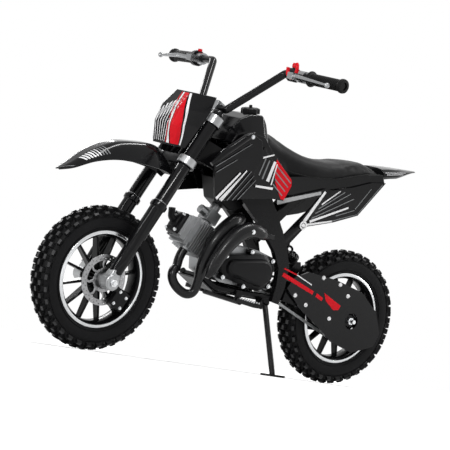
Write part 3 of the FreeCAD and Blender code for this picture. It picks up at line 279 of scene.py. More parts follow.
def dressed(node, look, body, slot, width=None, smooth=38, segments=2):
    """A node's own shape with its flat faces whole, rounded edges and its finish."""
    bm = bmesh.new()
    bm.from_mesh(nodes[node].data)
    bmesh.ops.remove_doubles(bm, verts=bm.verts, dist=0.00001)
    bmesh.ops.dissolve_limit(bm, angle_limit=math.radians(1), verts=bm.verts, edges=bm.edges)
    rounded(piece(node + "_finished", bm, look, body, slot, node, smooth=smooth), width, segments)


def merge(bm, made, place, index=0):
    """Add one bmesh to another at a place, with one material."""
    for face in made.faces:
        face.material_index = index
    bmesh.ops.transform(made, matrix=place, verts=made.verts)
    mesh = mesh_of("part", made)
    bm.from_mesh(mesh)
    bpy.data.meshes.remove(mesh)


def spun(bm, profile, steps, place):
    """Turn (radius, distance along) points round the place's z axis, and add the result."""
    made = bmesh.new()
    points = [made.verts.new((radius, 0, reach)) for radius, reach in profile]
    edges = [made.edges.new(pair) for pair in zip(points, points[1:])]
    bmesh.ops.spin(made, geom=points + edges, axis=(0, 0, 1), cent=(0, 0, 0), steps=steps,
                   angle=math.tau, use_merge=True)
    bmesh.ops.remove_doubles(made, verts=made.verts, dist=0.001)
    bmesh.ops.recalc_face_normals(made, faces=made.faces)
    merge(bm, made, place)


def sleeve(inner, outer, low, high):
    """The closed profile of a plain ring."""
    return [(inner, low), (outer, low), (outer, high), (inner, high), (inner, low)]


def rod(radius, high):
    """The profile of a plain rod."""
    return [(0, 0), (radius, 0), (radius, high), (0, high)]


def block(bm, size, place, taper=1.0, bevel=0.0, index=0):
    """A block of a size at a place, narrowed to its top, with rounded edges."""
    made = bmesh.new()
    bmesh.ops.create_cube(made, size=1)
    bmesh.ops.scale(made, vec=size, verts=made.verts)
    top = [v for v in made.verts if v.co.z > 0]
    bmesh.ops.scale(made, vec=(taper, taper, 1), verts=top)
    if bevel:
        bmesh.ops.bevel(made, geom=made.edges[:], offset=bevel, segments=1, profile=0.5,
                        affect="EDGES", material=-1)
    merge(bm, made, place, index)


def drum(bm, radius, tip, high, sides, place, index=0):
    """A drum with flat ends, its middle at the place."""
    made = bmesh.new()
    bmesh.ops.create_cone(made, cap_ends=True, segments=sides, radius1=radius, radius2=tip,
                          depth=high)
    merge(bm, made, place, index)


def bolt(bm, place, radius, high, index=0):
    """A hexagon bolt head on its washer, along the place's z axis."""
    for wide, start, tall, sides in ((radius * 1.35, 0, 1.2, 20), (radius, 1.2, high, 6)):
        drum(bm, wide, wide * 0.96, tall, sides, place @ moved(0, 0, start + tall / 2), index)


def ring_loft(bm, rings):
    """A closed skin over rings of points."""
    made = bmesh.new()
    loops = []
    for ring in rings:
        points = [made.verts.new(point) for point in ring]
        loops.append([made.edges.new((points[i - 1], points[i])) for i in range(len(points))])
    for one, other in zip(loops, loops[1:]):
        bmesh.ops.bridge_loops(made, edges=one + other)
    bmesh.ops.contextual_create(made, geom=loops[0])
    bmesh.ops.contextual_create(made, geom=loops[-1])
    bmesh.ops.recalc_face_normals(made, faces=made.faces)
    merge(bm, made, BIKE)


def ring_of(x, half, under):
    """A ring across the bike from its left half, with some points of its underside first."""
    ring = half + [(-side, z) for side, z in reversed(half)]
    return [(x, side, z) for side, z in ring[-under:] + ring[:-under]]


def swept(points, radii, place, sides=6):
    """A bmesh tube along a smooth line through (x, y, z) points."""
    curve = bpy.data.curves.new("line", "CURVE")
    curve.dimensions = "3D"
    curve.bevel_depth = 1.0
    curve.bevel_resolution = sides
    curve.use_fill_caps = True
    curve.resolution_u = 8
    line = curve.splines.new("NURBS")
    line.points.add(len(points) - 1)
    if not isinstance(radii, list):
        radii = [radii] * len(points)
    for spot, point, radius in zip(line.points, points, radii):
        spot.co = (*point, 1)
        spot.radius = radius
    line.order_u = 3
    line.use_endpoint_u = True
    carrier = linked("line", curve)
    mesh = result_of(carrier)
    bpy.data.objects.remove(carrier)
    bm = bmesh.new()
    bm.from_mesh(mesh)
    bpy.data.meshes.remove(mesh)
    bmesh.ops.remove_doubles(bm, verts=bm.verts, dist=0.01)
    bmesh.ops.recalc_face_normals(bm, faces=bm.faces)
    bmesh.ops.transform(bm, matrix=place, verts=bm.verts)
    return bm


def skin(bm, columns, rows, axis, shape, index=0):
    """Add a grid bent to a shape that takes two shares from 0 to 1, facing along an axis."""
    made = bmesh.new()
    bmesh.ops.create_grid(made, x_segments=columns, y_segments=rows, size=0.5)
    for vert in made.verts:
        vert.co = shape(vert.co.x + 0.5, vert.co.y + 0.5)
    bmesh.ops.recalc_face_normals(made, faces=made.faces)
    if sum(face.normal[axis] for face in made.faces) < 0:
        bmesh.ops.reverse_faces(made, faces=made.faces)
    merge(bm, made, BIKE, index)


def decal(bm, corners, near, side, thick=0.5, index=0):
    """A flat graphic with (x, z) corners, raised from a panel at a distance to the side."""
    made = bmesh.new()
    face = made.faces.new([made.verts.new((x, side * near, z)) for x, z in corners])
    raised = bmesh.ops.extrude_face_region(made, geom=[face])
    top = [v for v in raised["geom"] if isinstance(v, bmesh.types.BMVert)]
    bmesh.ops.translate(made, vec=(0, side * thick, 0), verts=top)
    bmesh.ops.recalc_face_normals(made, faces=made.faces)
    merge(bm, made, BIKE, index)


def line_corners(start, end, wide, tip):
    """Corners of a straight stripe between two (x, z) points, with its widths at both."""
    run = Vector((end[0] - start[0], end[1] - start[1])).normalized()
    aside = Vector((-run.y, run.x)) / 2
    return [(start[0] - aside.x * wide, start[1] - aside.y * wide),
            (end[0] - aside.x * tip, end[1] - aside.y * tip),
            (end[0] + aside.x * tip, end[1] + aside.y * tip),
            (start[0] + aside.x * wide, start[1] + aside.y * wide)]


def stripes(bm, near, side, narrow, rows):
    """Stripes from (start, end, width, material) rows, narrowed to their ends."""
    for start, end, wide, index in rows:
        decal(bm, line_corners(start, end, wide, wide * narrow), near, side, 0.5, index)


def make_tyres():
    half = [(127.5, 22), (133, 27.5), (136, 28), (137.5, 30.5), (144, 32), (150, 33),
            (166, 33.4), (176, 31), (181.5, 25), (185.4, 16), (186.6, 8)]
    profile = half + [(radius, -aside) for radius, aside in reversed(half)] + [half[0]]
    high, count = sizes().block_high, sizes().tread_rows
    # Rows: distance aside, share of a pitch, root radius, lean, length and width
    rows = [(-6.4, 0, 185.7, -3, 17, 11), (6.4, 0.5, 185.7, 3, 17, 11),
            (-18.5, 0.5, 183, -16, 17, 11), (18.5, 0, 183, 16, 17, 11),
            (-28, 0, 175, -42, 18, 10), (28, 0.5, 175, 42, 18, 10)]
    for name, place in (("front", FRONT), ("rear", REAR)):
        bm = bmesh.new()
        spun(bm, profile, WHEEL_STEPS, place)
        for aside, share, root, lean, long, wide in rows:
            for number in range(count):
                at = part_turned(number + share, count) @ moved(root, 0, aside)
                at = at @ turned(90 - lean, "Y") @ moved(0, 0, high / 2)
                block(bm, (wide, long, high), place @ at, 0.8, 0.8)
                # A thin lighter grey cap on each block's top is a painted highlight of the lit
                # block tops
                top = at @ moved(0, 0, high / 2 + 0.1)
                block(bm, (wide * 0.72, long * 0.72, 0.4), place @ top, 1, 0, 1)
        for reach in (141.5, 171):
            for side in SIDES:
                spun(bm, [(reach - 1, side * 31), (reach, side * 34.2),
                          (reach + 1, side * 31)], 72, place)
        piece(name + "_tyre_tread", bm, ["tyre_rubber", "worn_rubber"], name + "_wheel",
              "tyre_rubber", name + "_tyre", smooth=30)


class DIRTBIKE_OT_tyres(bpy.types.Operator):
    """Knobbly tyres with staggered blocks and smooth side walls"""
    bl_idname = "dirt_bike.tyres"
    bl_label = "Tyres"

    def execute(self, context):
        make_tyres()
        return {"FINISHED"}


def rim(name, place):
    """A cast wheel with its hub and spokes, and the bright lips of its rim."""
    bm = bmesh.new()
    half = [(117, 18), (125, 28.6), (127, 29.2), (128, 26), (127.8, 12)]
    spun(bm, half + [(r, -a) for r, a in reversed(half)] + [half[0]], WHEEL_STEPS, place)
    hub = [(28, -35), (30, -34), (30, -31), (24, -28), (22, -22), (22, 22), (24, 28),
           (30, 31), (30, 34), (28, 35)]
    spun(bm, [(6.1, -35)] + hub + [(6.1, 35), (6.1, -35)], 40, place)
    count = sizes().spokes
    for number in range(count):
        at = part_turned(number + 0.5, count) @ moved(69.5, 0, 0) @ turned(90, "Y")
        block(bm, (30, 8.8, 98), place @ at, 0.72, 1.6)
    piece(name + "_wheel_casting", bm, "rim_paint", name + "_wheel", "rim_paint", name + "_rim")
    lip = bmesh.new()
    edge = [(124.6, 29.4), (125.5, 30.1), (132.5, 29.6), (134, 28.4), (133.6, 26.5),
            (126, 26.5), (124.6, 29.4)]
    for side in SIDES:
        spun(lip, [(r, side * a) for r, a in edge], WHEEL_STEPS, place)
    piece(name + "_rim_lip", lip, "bright_metal", name + "_wheel", "alloy")


def disc(name, radius, aside, place):
    """A drilled brake disc on its centre with curved arms and bolts."""
    inner = radius - 16
    bm = bmesh.new()
    spun(bm, sleeve(inner, radius, aside - 1.5, aside + 1.5), WHEEL_STEPS, place)
    band = piece(name + "_disc_band", bm, "disc_steel", name + "_wheel", "steel", name + "_disc")
    tool = bmesh.new()
    count = sizes().disc_holes
    for reach, share in ((radius - 5, 0), (radius - 11, 0.5)):
        for number in range(count):
            drum(tool, 2, 2, 12, 12,
                 place @ part_turned(number + share, count) @ moved(reach, 0, aside))
    drill = linked("drill", mesh_of("drill", tool))
    holes = modified(band, "BOOLEAN", operation="DIFFERENCE", solver="EXACT", object=drill)
    drilled = result_of(band)
    band.modifiers.remove(holes)
    band.data = drilled
    bpy.data.objects.remove(drill)
    centre = bmesh.new()
    for number in range(8):
        line = [(26, 0, aside), (38, 9, aside), (inner - 6, 11, aside), (inner + 3, 4, aside)]
        arm = swept(line, [4.2, 3.4, 3, 3.4], moved(0, 0, -aside), sides=2)
        bmesh.ops.scale(arm, vec=(1, 1, 0.42), verts=arm.verts)
        merge(centre, arm, place @ part_turned(number, 8) @ moved(0, 0, aside))
    low, high = sorted((aside - 1.6, aside + math.copysign(2.6, aside)))
    spun(centre, [(15, low), (33, low), (33, high), (24, high), (22, high - 0.8),
                  (15, high - 0.8), (15, low)], 48, place)
    out = place @ turned(0 if aside > 0 else 180, "X")
    for number in range(6):
        bolt(centre, out @ part_turned(number, 6) @ moved(28, 0, abs(aside) + 2), 3, 2.4)
    piece(name + "_disc_centre", centre, "disc_steel", name + "_wheel", "steel")


def make_wheels():
    for name, place, body in (("front", FRONT, "steering"), ("rear", REAR, "chassis")):
        rim(name, place)
        dressed(name + "_axle", "bright_metal", body, "zinc", 0.0008)
    disc("front", radius=70, aside=36.5, place=FRONT)
    disc("rear", radius=62, aside=-36.5, place=REAR)


class DIRTBIKE_OT_wheels(bpy.types.Operator):
    """Rims with their bright lips, spokes, hubs and drilled brake discs"""
    bl_idname = "dirt_bike.wheels"
    bl_label = "Wheels"

    def execute(self, context):
        make_wheels()
        return {"FINISHED"}


def make_fork():
    legs, tubes, bands, lugs, bolts = [bmesh.new() for _ in range(5)]
    guard = [(0, 24), (15, 25), (17.5, 30), (19.6, 70), (20, 120), (20, 238), (21, 241),
             (24, 243), (24.4, 249), (24, 255), (22, 257), (0, 257)]
    lug = [(6, -19), (20, -19), (22, -17), (22, 17), (20, 19), (6, 19), (6, -19)]
    boss = [(7, 0), (16, 0), (16, 20), (14, 22), (7, 22), (7, 0)]
    machined = [(7, 0), (19, 0), (19, 1), (13, 1.8), (7, 1.8), (7, 0)]
    tube = [(0, 250), (19.5, 250), (19.5, 552), (17.5, 559), (14, 563), (0, 564)]
    for side in SIDES:
        foot = FORK @ moved(0, side * FORK_HALF, 0)
        spun(legs, guard, 48, foot)
        spun(lugs, lug, 40, foot @ turned(90, "X"))
        block(lugs, (38, 34, 40), foot @ moved(0, 0, 14), 0.86, 4)
        spun(lugs, boss, 32, outward(0, -side * 17, 0, -side, foot))
        spun(tubes, tube, 48, foot)
        for low, high, wide in ((259, 261, 20.4), (383, 405, 26.8)):
            spun(bands, [(19, low), (wide - 0.8, low), (wide, low + 1), (wide, high - 1),
                         (wide - 0.8, high), (19, high), (19, low)], 48, foot)
        for up in (388, 400, 526, 538):
            bolt(bands, foot @ moved(25.5, 0, up) @ turned(90, "Y"), 3.2, 3)
        spun(bands, machined, 32, outward(0, side * 19, 0, side, foot))
        for ahead, up in ((-13, 30), (13, 30), (-13, 12), (13, 12)):
            bolt(bands, outward(ahead, side * 15.5, up, side, foot), 2.6, 2)
    piece("fork_guards", legs, "gloss_plastic", "steering", "black_plastic", "fork_legs")
    piece("fork_axle_lugs", lugs, "satin_alloy", "steering", "alloy")
    piece("fork_stanchions", tubes, "gloss_plastic", "steering", "black_metal", "fork_tubes")
    piece("fork_bands", bands, "satin_alloy", "steering", "zinc")
    dressed("steering_stem", "black_metal", "steering", "black_metal")
    dressed("upper_clamp", "lever_alloy", "steering", "alloy")
    dressed("front_caliper", "black_metal", "steering", "black_metal", 0.002)
    for ahead, up in ((-80, -36), (-54, -36), (-80, -4), (-54, 0)):
        bolt(bolts, outward(ahead, 58, up, base=FORK), 3.4, 3)
    piece("front_caliper_bolts", bolts, "bright_metal", "steering", "zinc")


class DIRTBIKE_OT_fork(bpy.types.Operator):
    """Fork legs, tubes and clamps with their bright bands and bolts"""
    bl_idname = "dirt_bike.fork"
    bl_label = "Fork"

    def execute(self, context):
        make_fork()
        return {"FINISHED"}


def make_controls():
    middle = Vector((600.3, 0, 716.5))
    half = [(0, 36, 0), (0, 50, 0), (0, 62, 0), (-8, 71, 12), (-46, 115, 66),
            (-84, 158, 120), (-92, 168, 132), (-94, 182, 132), (-100, 240, 130),
            (-116, 390, 127)]
    line = [middle + Vector((x, -y, z)) for x, y, z in reversed(half)]
    line += [middle + Vector(point) for point in half]
    bar = swept(line, 11, BIKE, sides=8)
    piece("handlebar_tube", bar, "gloss_plastic", "steering", "black_metal", "handlebar")
    profile = [(11, 0), (21, 0), (22, 1.5), (21.5, 4), (17, 7)]
    for number in range(17):
        start = 9 + number * 6.1
        profile += [(16.2, start), (16.2, start + 3.6), (14.9, start + 4.4), (14.9, start + 5.6)]
    profile += [(17, 115), (19.5, 118), (20, 122), (19, 127), (15, 128), (11, 128), (11, 0)]
    grips, red = bmesh.new(), bmesh.new()
    for side in SIDES:
        end = middle + Vector((-116, side * 390, 127))
        out = (end - middle - Vector((-92, side * 168, 132))).normalized()
        spun(grips, profile, 32, aimed(end - out * 124, out))
        if side > 0:
            place = BIKE @ moved(*(end - out * 192))
            button = [(0, 20), (8.6, 20), (9.4, 24), (9.4, 30), (8, 33), (0, 34)]
            spun(red, button, 28, place)
            hoop = []
            for number in range(13):
                angle = math.radians(40 + 20 * number)
                hoop.append((24, 20 * math.sin(angle) + 20, 23 * math.cos(angle) + 14))
            merge(red, swept(hoop, 5, place, sides=5), Matrix.Identity(4))
        else:
            spun(red, [(0, 20), (6, 20), (6.6, 23), (6, 27), (0, 28)], 24,
                 BIKE @ moved(*(end - out * 139)))
    piece("grip_sleeves", grips, "grip_rubber", "steering", "grip_rubber", "grips")
    dressed("hand_levers", "lever_alloy", "steering", "alloy", 0.0008)
    dressed("hand_controls", "dull_plastic", "steering", "dull_plastic", 0.0012)
    piece("red_switches", red, "accent_red", "steering", "dull_plastic")


class DIRTBIKE_OT_controls(bpy.types.Operator):
    """Handlebar, grips, levers and switches"""
    bl_idname = "dirt_bike.controls"
    bl_label = "Handlebar and controls"

    def execute(self, context):
        make_controls()
        return {"FINISHED"}


# Sections of the front fender from its tip: x, crown height, half width, drop of the edges
FENDER = [(1061, 470, 9, 2), (1030, 492, 30, 12), (975, 536, 46, 28), (910, 568, 54, 44),
          (840, 580, 58, 54), (775, 580, 56, 58), (724, 544, 44, 30), (694, 516, 38, 16)]


def arch_point(along, across):
    """A point of the front fender's upper skin, on a smooth line through the sections."""
    spot = along * (len(FENDER) - 1)
    index = min(int(spot), len(FENDER) - 2)
    share = spot - index
    near = (max(index - 1, 0), index, index + 1, min(index + 2, len(FENDER) - 1))
    x, crown, half, drop = [
        0.5 * (2 * b + (c - a) * share + (2 * a - 5 * b + 4 * c - d) * share ** 2
               + (3 * b - a - 3 * c + d) * share ** 3)
        for a, b, c, d in zip(*(FENDER[number] for number in near))]
    edge = abs(across)
    fall = 0 if edge < 0.32 else ((edge - 0.32) / 0.68) ** 1.7
    return Vector((x, across * half, crown - drop * fall))


def fender_stripe(bm, start, end, wide, index):
    """A stripe on the front fender between two (along, across) shares."""
    def shape(aside, share):
        along = start[0] + (end[0] - start[0]) * share + (aside - 0.5) * wide
        across = start[1] + (end[1] - start[1]) * share
        here = arch_point(along, across)
        ahead = arch_point(along + 0.004, across) - here
        out = ahead.cross(arch_point(along, across + 0.01) - here).normalized()
        return here + out * math.copysign(0.6, out.z)

    skin(bm, 2, 14, 2, shape, index)


def make_fenders():
    shell, marks, foot, tail = [bmesh.new() for _ in range(4)]
    skin(shell, 48, 22, 2, lambda a, b: arch_point(a, 2 * b - 1))
    fender = piece("front_fender_shell", shell, "gloss_plastic", "steering",
                   "black_plastic", "front_fender", smooth=60)
    modified(fender, "SOLIDIFY", thickness=0.0036)
    rounded(fender, 0.0012)
    for side in SIDES:
        for number in range(9):
            start = 0.20 + number * 0.018
            fender_stripe(marks, (start, side * 0.42), (start + 0.035, side * 0.84),
                          0.010 if number < 4 else 0.006, 0 if number < 6 else 1)
        fender_stripe(marks, (0.03, side * 0.5), (0.15, side * 0.9), 0.02, 1)
    piece("fender_graphics", marks, ["stripe_white", "stripe_grey"], "steering",
          "black_plastic", smooth=60)
    block(foot, (27, 43, 29), FORK @ moved(0, 0, 365), 1, 2)
    piece("front_fender_mount", foot, "dull_plastic", "steering", "black_plastic")
    rings = []
    # Sections of the tail: x, underside, top, half width and half width of the top
    for x, low, high, half, top in (
            (-14.5, 618, 650, 60, 46), (-40, 624, 654, 58, 44), (-75, 630, 657, 54, 40),
            (-105, 640, 659, 45, 32), (-130, 648, 660, 34, 22), (-158, 655, 661.4, 19, 12),
            (-178, 658, 662, 8, 5)):
        rise = high - low
        rings.append(ring_of(x, [
            (half * 0.9, low), (half, low + rise * 0.25), (half, low + rise * 0.6),
            (top, high - rise * 0.08), (top * 0.5, high)], 1))
    ring_loft(tail, rings)
    block(tail, (46, 60, 6), BIKE @ moved(-23, 0, 615.3))
    rounded(piece("tail_shell", tail, "gloss_plastic", "chassis", "black_plastic",
                  "tail_fender", smooth=50), 0.004, 3, 25)


class DIRTBIKE_OT_fenders(bpy.types.Operator):
    """Front fender and tail"""
    bl_idname = "dirt_bike.fenders"
    bl_label = "Fenders"

    def execute(self, context):
        make_fenders()
        return {"FINISHED"}


def plate_point(across, up):
    """A point of the number plate's outer face, across from the right to the left."""
    # Height, front and its half width, rear and its half width
    rows = [(590, 752, 46, 708, 60), (650, 755, 58, 681, 68), (700, 738, 62, 657, 70),
            (744, 708, 50, 640, 62)]
    spot = up * 3
    index = min(int(spot), 2)
    share = spot - index
    z, front, front_half, rear, rear_half = [
        a + (b - a) * share for a, b in zip(rows[index], rows[index + 1])]
    edge = [(rear, -rear_half), (front - 12, -front_half), (front, -front_half * 0.7),
            (front, front_half * 0.7), (front - 12, front_half), (rear, rear_half)]
    stops = (0, 0.22, 0.29, 0.71, 0.78, 1)
    number = next((n for n in range(5) if across <= stops[n + 1]), 4)
    part = (across - stops[number]) / (stops[number + 1] - stops[number])
    (x0, y0), (x1, y1) = edge[number], edge[number + 1]
    return Vector((x0 + (x1 - x0) * part, y0 + (y1 - y0) * part, z))


def plate_stripe(bm, low, high, wide, index):
    """A stripe on the number plate between two (across, up) shares."""
    def shape(aside, share):
        across = low[0] + (high[0] - low[0]) * share + (aside - 0.5) * wide
        up = low[1] + (high[1] - low[1]) * share
        beside = plate_point(across + 0.012, up) - plate_point(across - 0.012, up)
        return plate_point(across, up) + Vector((beside.y, -beside.x, 0)).normalized() * 1.6

    skin(bm, 10, 28, 0, shape, index)


# Slats of the shrouds: start, end, width of the rib or 0, width and material of the stripe
SLATS = (((604, 474), (540, 556), 7, 8, 0), ((592, 473), (536, 545), 0, 4, 0),
         ((586, 471), (520, 566), 6, 6, 0), ((566, 475), (504, 566), 5, 2.4, 2),
         ((548, 478), (492, 556), 4, 1.8, 2), ((531, 482), (482, 545), 4, 1.8, 2),
         ((628, 560), (522, 640), 5, 1.6, 2), ((622, 545), (560, 590), 4, 1.6, 2))


def shroud(word, side):
    """A shroud from three layers, with ribs, posts and the scoop along its upper edge."""
    bm = bmesh.new()
    decal(bm, [(600, 600), (513, 669), (472, 666), (433, 628), (411, 613), (350, 568),
               (344, 548), (362, 503), (399, 503), (519, 484)], 92, side, 5)
    decal(bm, [(632, 566), (600, 600), (520, 667), (486, 655), (470, 610), (519, 484),
               (600, 467)], 95, side, 10)
    decal(bm, [(470, 640), (430, 606), (410, 560), (418, 532), (474, 528), (508, 540)],
          96, side, 5)
    for low, high, wide, _, _ in SLATS:
        if wide:
            decal(bm, line_corners(low, high, wide, wide * 0.7), 104, side, 4)
    for x, z in ((500, 640), (460, 600)):
        spun(bm, rod(8, 26), 16, outward(x, side * 68, z, side))
    rounded(piece("shroud_%s_shell" % word, bm, "gloss_plastic", "chassis",
                  "black_plastic", "shroud_" + word), 0.0022)
    line = [(638, side * 100, 564), (622, side * 101, 580), (600, side * 102, 604),
            (560, side * 102, 637), (532, side * 100, 660), (514, side * 99, 668)]
    scoop = swept(line, [6, 9, 11, 11, 10, 7], BIKE)
    bolt(scoop, outward(524, side * 108, 660, side), 4.5, 2.5, 1)
    piece("shroud_%s_scoop" % word, scoop, ["gloss_plastic", "bright_metal"], "chassis",
          "black_plastic", smooth=50)


def make_bodywork():
    shell, stays, tank = [bmesh.new() for _ in range(3)]
    skin(shell, 70, 24, 0, plate_point)
    plate = piece("number_plate_shell", shell, "gloss_plastic", "steering",
                  "black_plastic", "number_plate", smooth=24)
    modified(plate, "SOLIDIFY", thickness=0.0038)
    rounded(plate, 0.0008)
    for side in SIDES:
        spun(stays, rod(5, 80), 20, FORK @ moved(14, side * 28, 532) @ turned(90, "Y"))
    piece("number_plate_stays", stays, "black_metal", "steering", "black_metal")
    outer = [(562, 634), (548, 658), (522, 668), (488, 670), (452, 664), (436, 652),
             (432, 640), (432, 566), (525, 604)]
    inner = [(572, 634), (556, 676), (532, 703), (500, 719), (456, 724), (440, 704),
             (430, 676), (430, 562), (527, 600)]
    ring_loft(tank, [[(x, y, z) for x, z in edge] for y, edge in (
        (-70, outer), (-46, inner), (46, inner), (70, outer))])
    rounded(piece("tank_shell", tank, "gloss_plastic", "chassis", "black_plastic",
                  "fuel_tank", smooth=50), 0.007, 4, 20)
    dressed("fuel_cap", "dull_plastic", "chassis", "dull_plastic", 0.0012)
    for side, word in WORDS.items():
        shroud(word, side)
        dressed("side_panel_" + word, "gloss_plastic", "chassis", "black_plastic", 0.0014)
        skirt = bmesh.new()
        decal(skirt, [(238, 468), (192, 532), (158, 544), (116, 538), (160, 484)], 77.6, side, 2.6)
        decal(skirt, [(392, 512), (372, 566), (290, 582), (200, 592), (100, 614), (0, 632),
                      (-12, 610), (41, 602), (107, 578), (206, 556), (290, 528)], 70, side, 4)
        rounded(piece("side_skirt_" + word, skirt, "gloss_plastic", "chassis",
                      "black_plastic"), 0.001)
    dressed("air_box", "dull_plastic", "chassis", "dull_plastic", 0.003)


class DIRTBIKE_OT_bodywork(bpy.types.Operator):
    """Number plate, tank, shrouds and side panels"""
    bl_idname = "dirt_bike.bodywork"
    bl_label = "Bodywork"

    def execute(self, context):
        make_bodywork()
        return {"FINISHED"}


def make_graphics():
    # The stripes' material numbers count through the looks. A distance aside tells which
    # panel a stripe lies on.
    looks = ["stripe_white", "accent_red", "stripe_grey", "panel_grey"]
    field, shroud, slat, panel, tail, chain_guard = 97.3, 101.3, 108.2, 82.3, 58.5, 76.3
    plate, guard = bmesh.new(), bmesh.new()
    for number in range(7):
        low = 0.30 + number * 0.055
        plate_stripe(plate, (low, 0.04), (low - 0.05, 0.5 + 0.06 * number), 0.016, 0)
        plate_stripe(plate, (low + 0.03, 0.3 + 0.05 * number),
                     (low + 0.05, 0.62 + 0.05 * number), 0.014, 0)
    for low, high, wide, index in ((0.68, 0.50, 0.022, 1), (0.715, 0.545, 0.034, 0),
                                   (0.80, 0.63, 0.115, 1), (0.885, 0.715, 0.022, 0)):
        plate_stripe(plate, (low, 0.03), (high, 0.97), wide, index)
    piece("plate_graphics", plate, looks, "steering", "black_plastic")
    for side, word in WORDS.items():
        body = bmesh.new()
        # Red field with grey slashes
        decal(body, [(416, 613), (350, 566), (345, 549), (362, 506), (374, 507),
                     (404, 548), (418, 590)], field, side, 0.4, 1)
        for number in range(4):
            x, z = 350 + number * 7, 556 - number * 13
            decal(body, line_corners((x, z), (x + 62, z + 40), 3.2, 3.2), field + 0.4, side,
                  0.3, 2)
        stripes(body, shroud, side, 0.8, (
            ((436, 548), (424, 606), 11, 0), ((421, 540), (415, 600), 4, 0),
            ((456, 552), (444, 606), 5, 2), ((470, 560), (458, 610), 4, 2),
            ((484, 604), (432, 624), 5, 0), ((412, 531), (474, 529), 7, 0)))
        stripes(body, slat, side, 0.6, (row[:2] + row[3:] for row in SLATS))
        # Side panel: white edge, ring and slashes
        stripes(body, panel, side, 0.7, (
            ((264, 450), (206, 552), 11, 0), ((262, 446), (160, 473), 6, 0),
            ((240, 460), (110, 520), 7, 0), ((236, 470), (96, 548), 3, 2),
            ((226, 486), (112, 560), 3, 2), ((218, 500), (134, 562), 3, 2),
            ((210, 514), (152, 562), 4, 0), ((160, 474), (72, 506), 2.4, 2),
            ((150, 490), (86, 516), 2.4, 2), ((84, 520), (40, 586), 2.4, 2),
            ((70, 508), (2, 604), 2.4, 2)))
        decal(body, line_corners((372, 496), (222, 546), 13, 9), panel + 1, side, 0.6, 3)
        ring = outward(262, side * 85.2, 446, side)
        spun(body, sleeve(8, 12.6, 0, 1), 32, ring)
        bolt(body, ring, 4.5, 3)
        # Pin stripes of the tail
        stripes(body, tail, side, 0.7, (
            ((-20, 640), (-96, 652), 2, 0), ((-20, 634), (-90, 646), 2, 0)))
        piece("body_graphics_" + word, body, looks, "chassis", "black_plastic")
    stripes(guard, chain_guard, 1, 0.9, (
        ((288, 316), (237, 304), 4, 1), ((237, 304), (176, 283), 3, 0),
        ((289, 299), (165, 261), 12, 1), ((152, 257), (126, 247), 11, 1)))
    decal(guard, [(124, 267), (53, 238), (58, 225), (77, 222), (111, 244)], chain_guard, 1, 0.5, 1)
    for x, z in ((138, 309), (33, 269), (182, 224), (85, 196), (71, 298), (228, 246)):
        bolt(guard, outward(x, 76, z), 4.6, 3)
    piece("guard_graphics", guard, looks, "chassis", "black_plastic")


class DIRTBIKE_OT_graphics(bpy.types.Operator):
    """Plain stripes of the bodywork, raised a little from it"""
    bl_idname = "dirt_bike.graphics"
    bl_label = "Graphics"

    def execute(self, context):
        make_graphics()
        return {"FINISHED"}


def inflate(obj, voxel, cap):
    """Remesh a pad and let pressure crown its faces, then keep the result."""
    scene = bpy.context.scene
    remesh = modified(obj, "REMESH", mode="VOXEL", voxel_size=voxel)
    mesh = result_of(obj)
    obj.modifiers.remove(remesh)
    obj.data = mesh
    start = [v.co.copy() for v in mesh.vertices]
    cloth = obj.modifiers.new("cloth", "CLOTH")
    cloth.settings.quality = 5
    cloth.settings.use_pressure = True
    cloth.settings.uniform_pressure_force = 4
    cloth.settings.effector_weights.gravity = 0
    cloth.settings.tension_stiffness = 20
    cloth.settings.compression_stiffness = 20
    for number in range(1, 21):
        scene.frame_set(number)
    swollen = result_of(obj)
    obj.modifiers.remove(cloth)
    for vert, old in zip(swollen.vertices, start):
        move = vert.co - old
        if move.length > cap:
            vert.co = old + move.normalized() * cap
    obj.data = swollen
    swollen.shade_smooth()
    scene.frame_set(1)


def make_seat():
    # Sections: x, underside, top, half width and half width of the top
    rows = [(424, 602, 690, 53, 32), (400, 586, 678, 57, 36), (368, 563, 661, 63, 41),
            (336, 561, 648, 68, 47), (306, 562, 639, 73, 52), (276, 564, 632, 77, 57),
            (247, 567, 629, 80, 61), (189, 573, 629, 80, 62), (150, 584, 634, 79, 61),
            (120, 594, 641, 77, 59), (84, 604, 645, 73, 55), (50, 613, 647, 67, 49),
            (16, 620, 642, 58, 42), (-11, 626, 636, 50, 36)]
    rings = []
    for x, low, high, half, top in rows:
        rise = high - low
        rings.append(ring_of(x, [
            (half * 0.45, low), (half * 0.9, low), (half, low + rise * 0.25),
            (half, low + rise * 0.66), (half * 0.93, low + rise * 0.82),
            (top * 0.9, high - rise * 0.06), (top * 0.45, high)], 2))
    bm = bmesh.new()
    ring_loft(bm, rings)
    seat = piece("seat_cover", bm, "seat_vinyl", "chassis", "seat_vinyl", "seat", smooth=180)
    inflate(seat, voxel=0.006, cap=0.006)
    levels = 1
    modified(seat, "SUBSURF", levels=levels, render_levels=levels)
    for side, word in WORDS.items():
        line = [(x, side * (half + 0.6), low + (high - low) * 0.25 + 3)
                for x, low, high, half, top in rows]
        seam = swept(line, 1.7, BIKE, sides=3)
        piece("seat_piping_" + word, seam, "grip_rubber", "chassis", "seat_vinyl")


class DIRTBIKE_OT_seat(bpy.types.Operator):
    """Padded seat with its piping"""
    bl_idname = "dirt_bike.seat"
    bl_label = "Seat"

    def execute(self, context):
        make_seat()
        return {"FINISHED"}


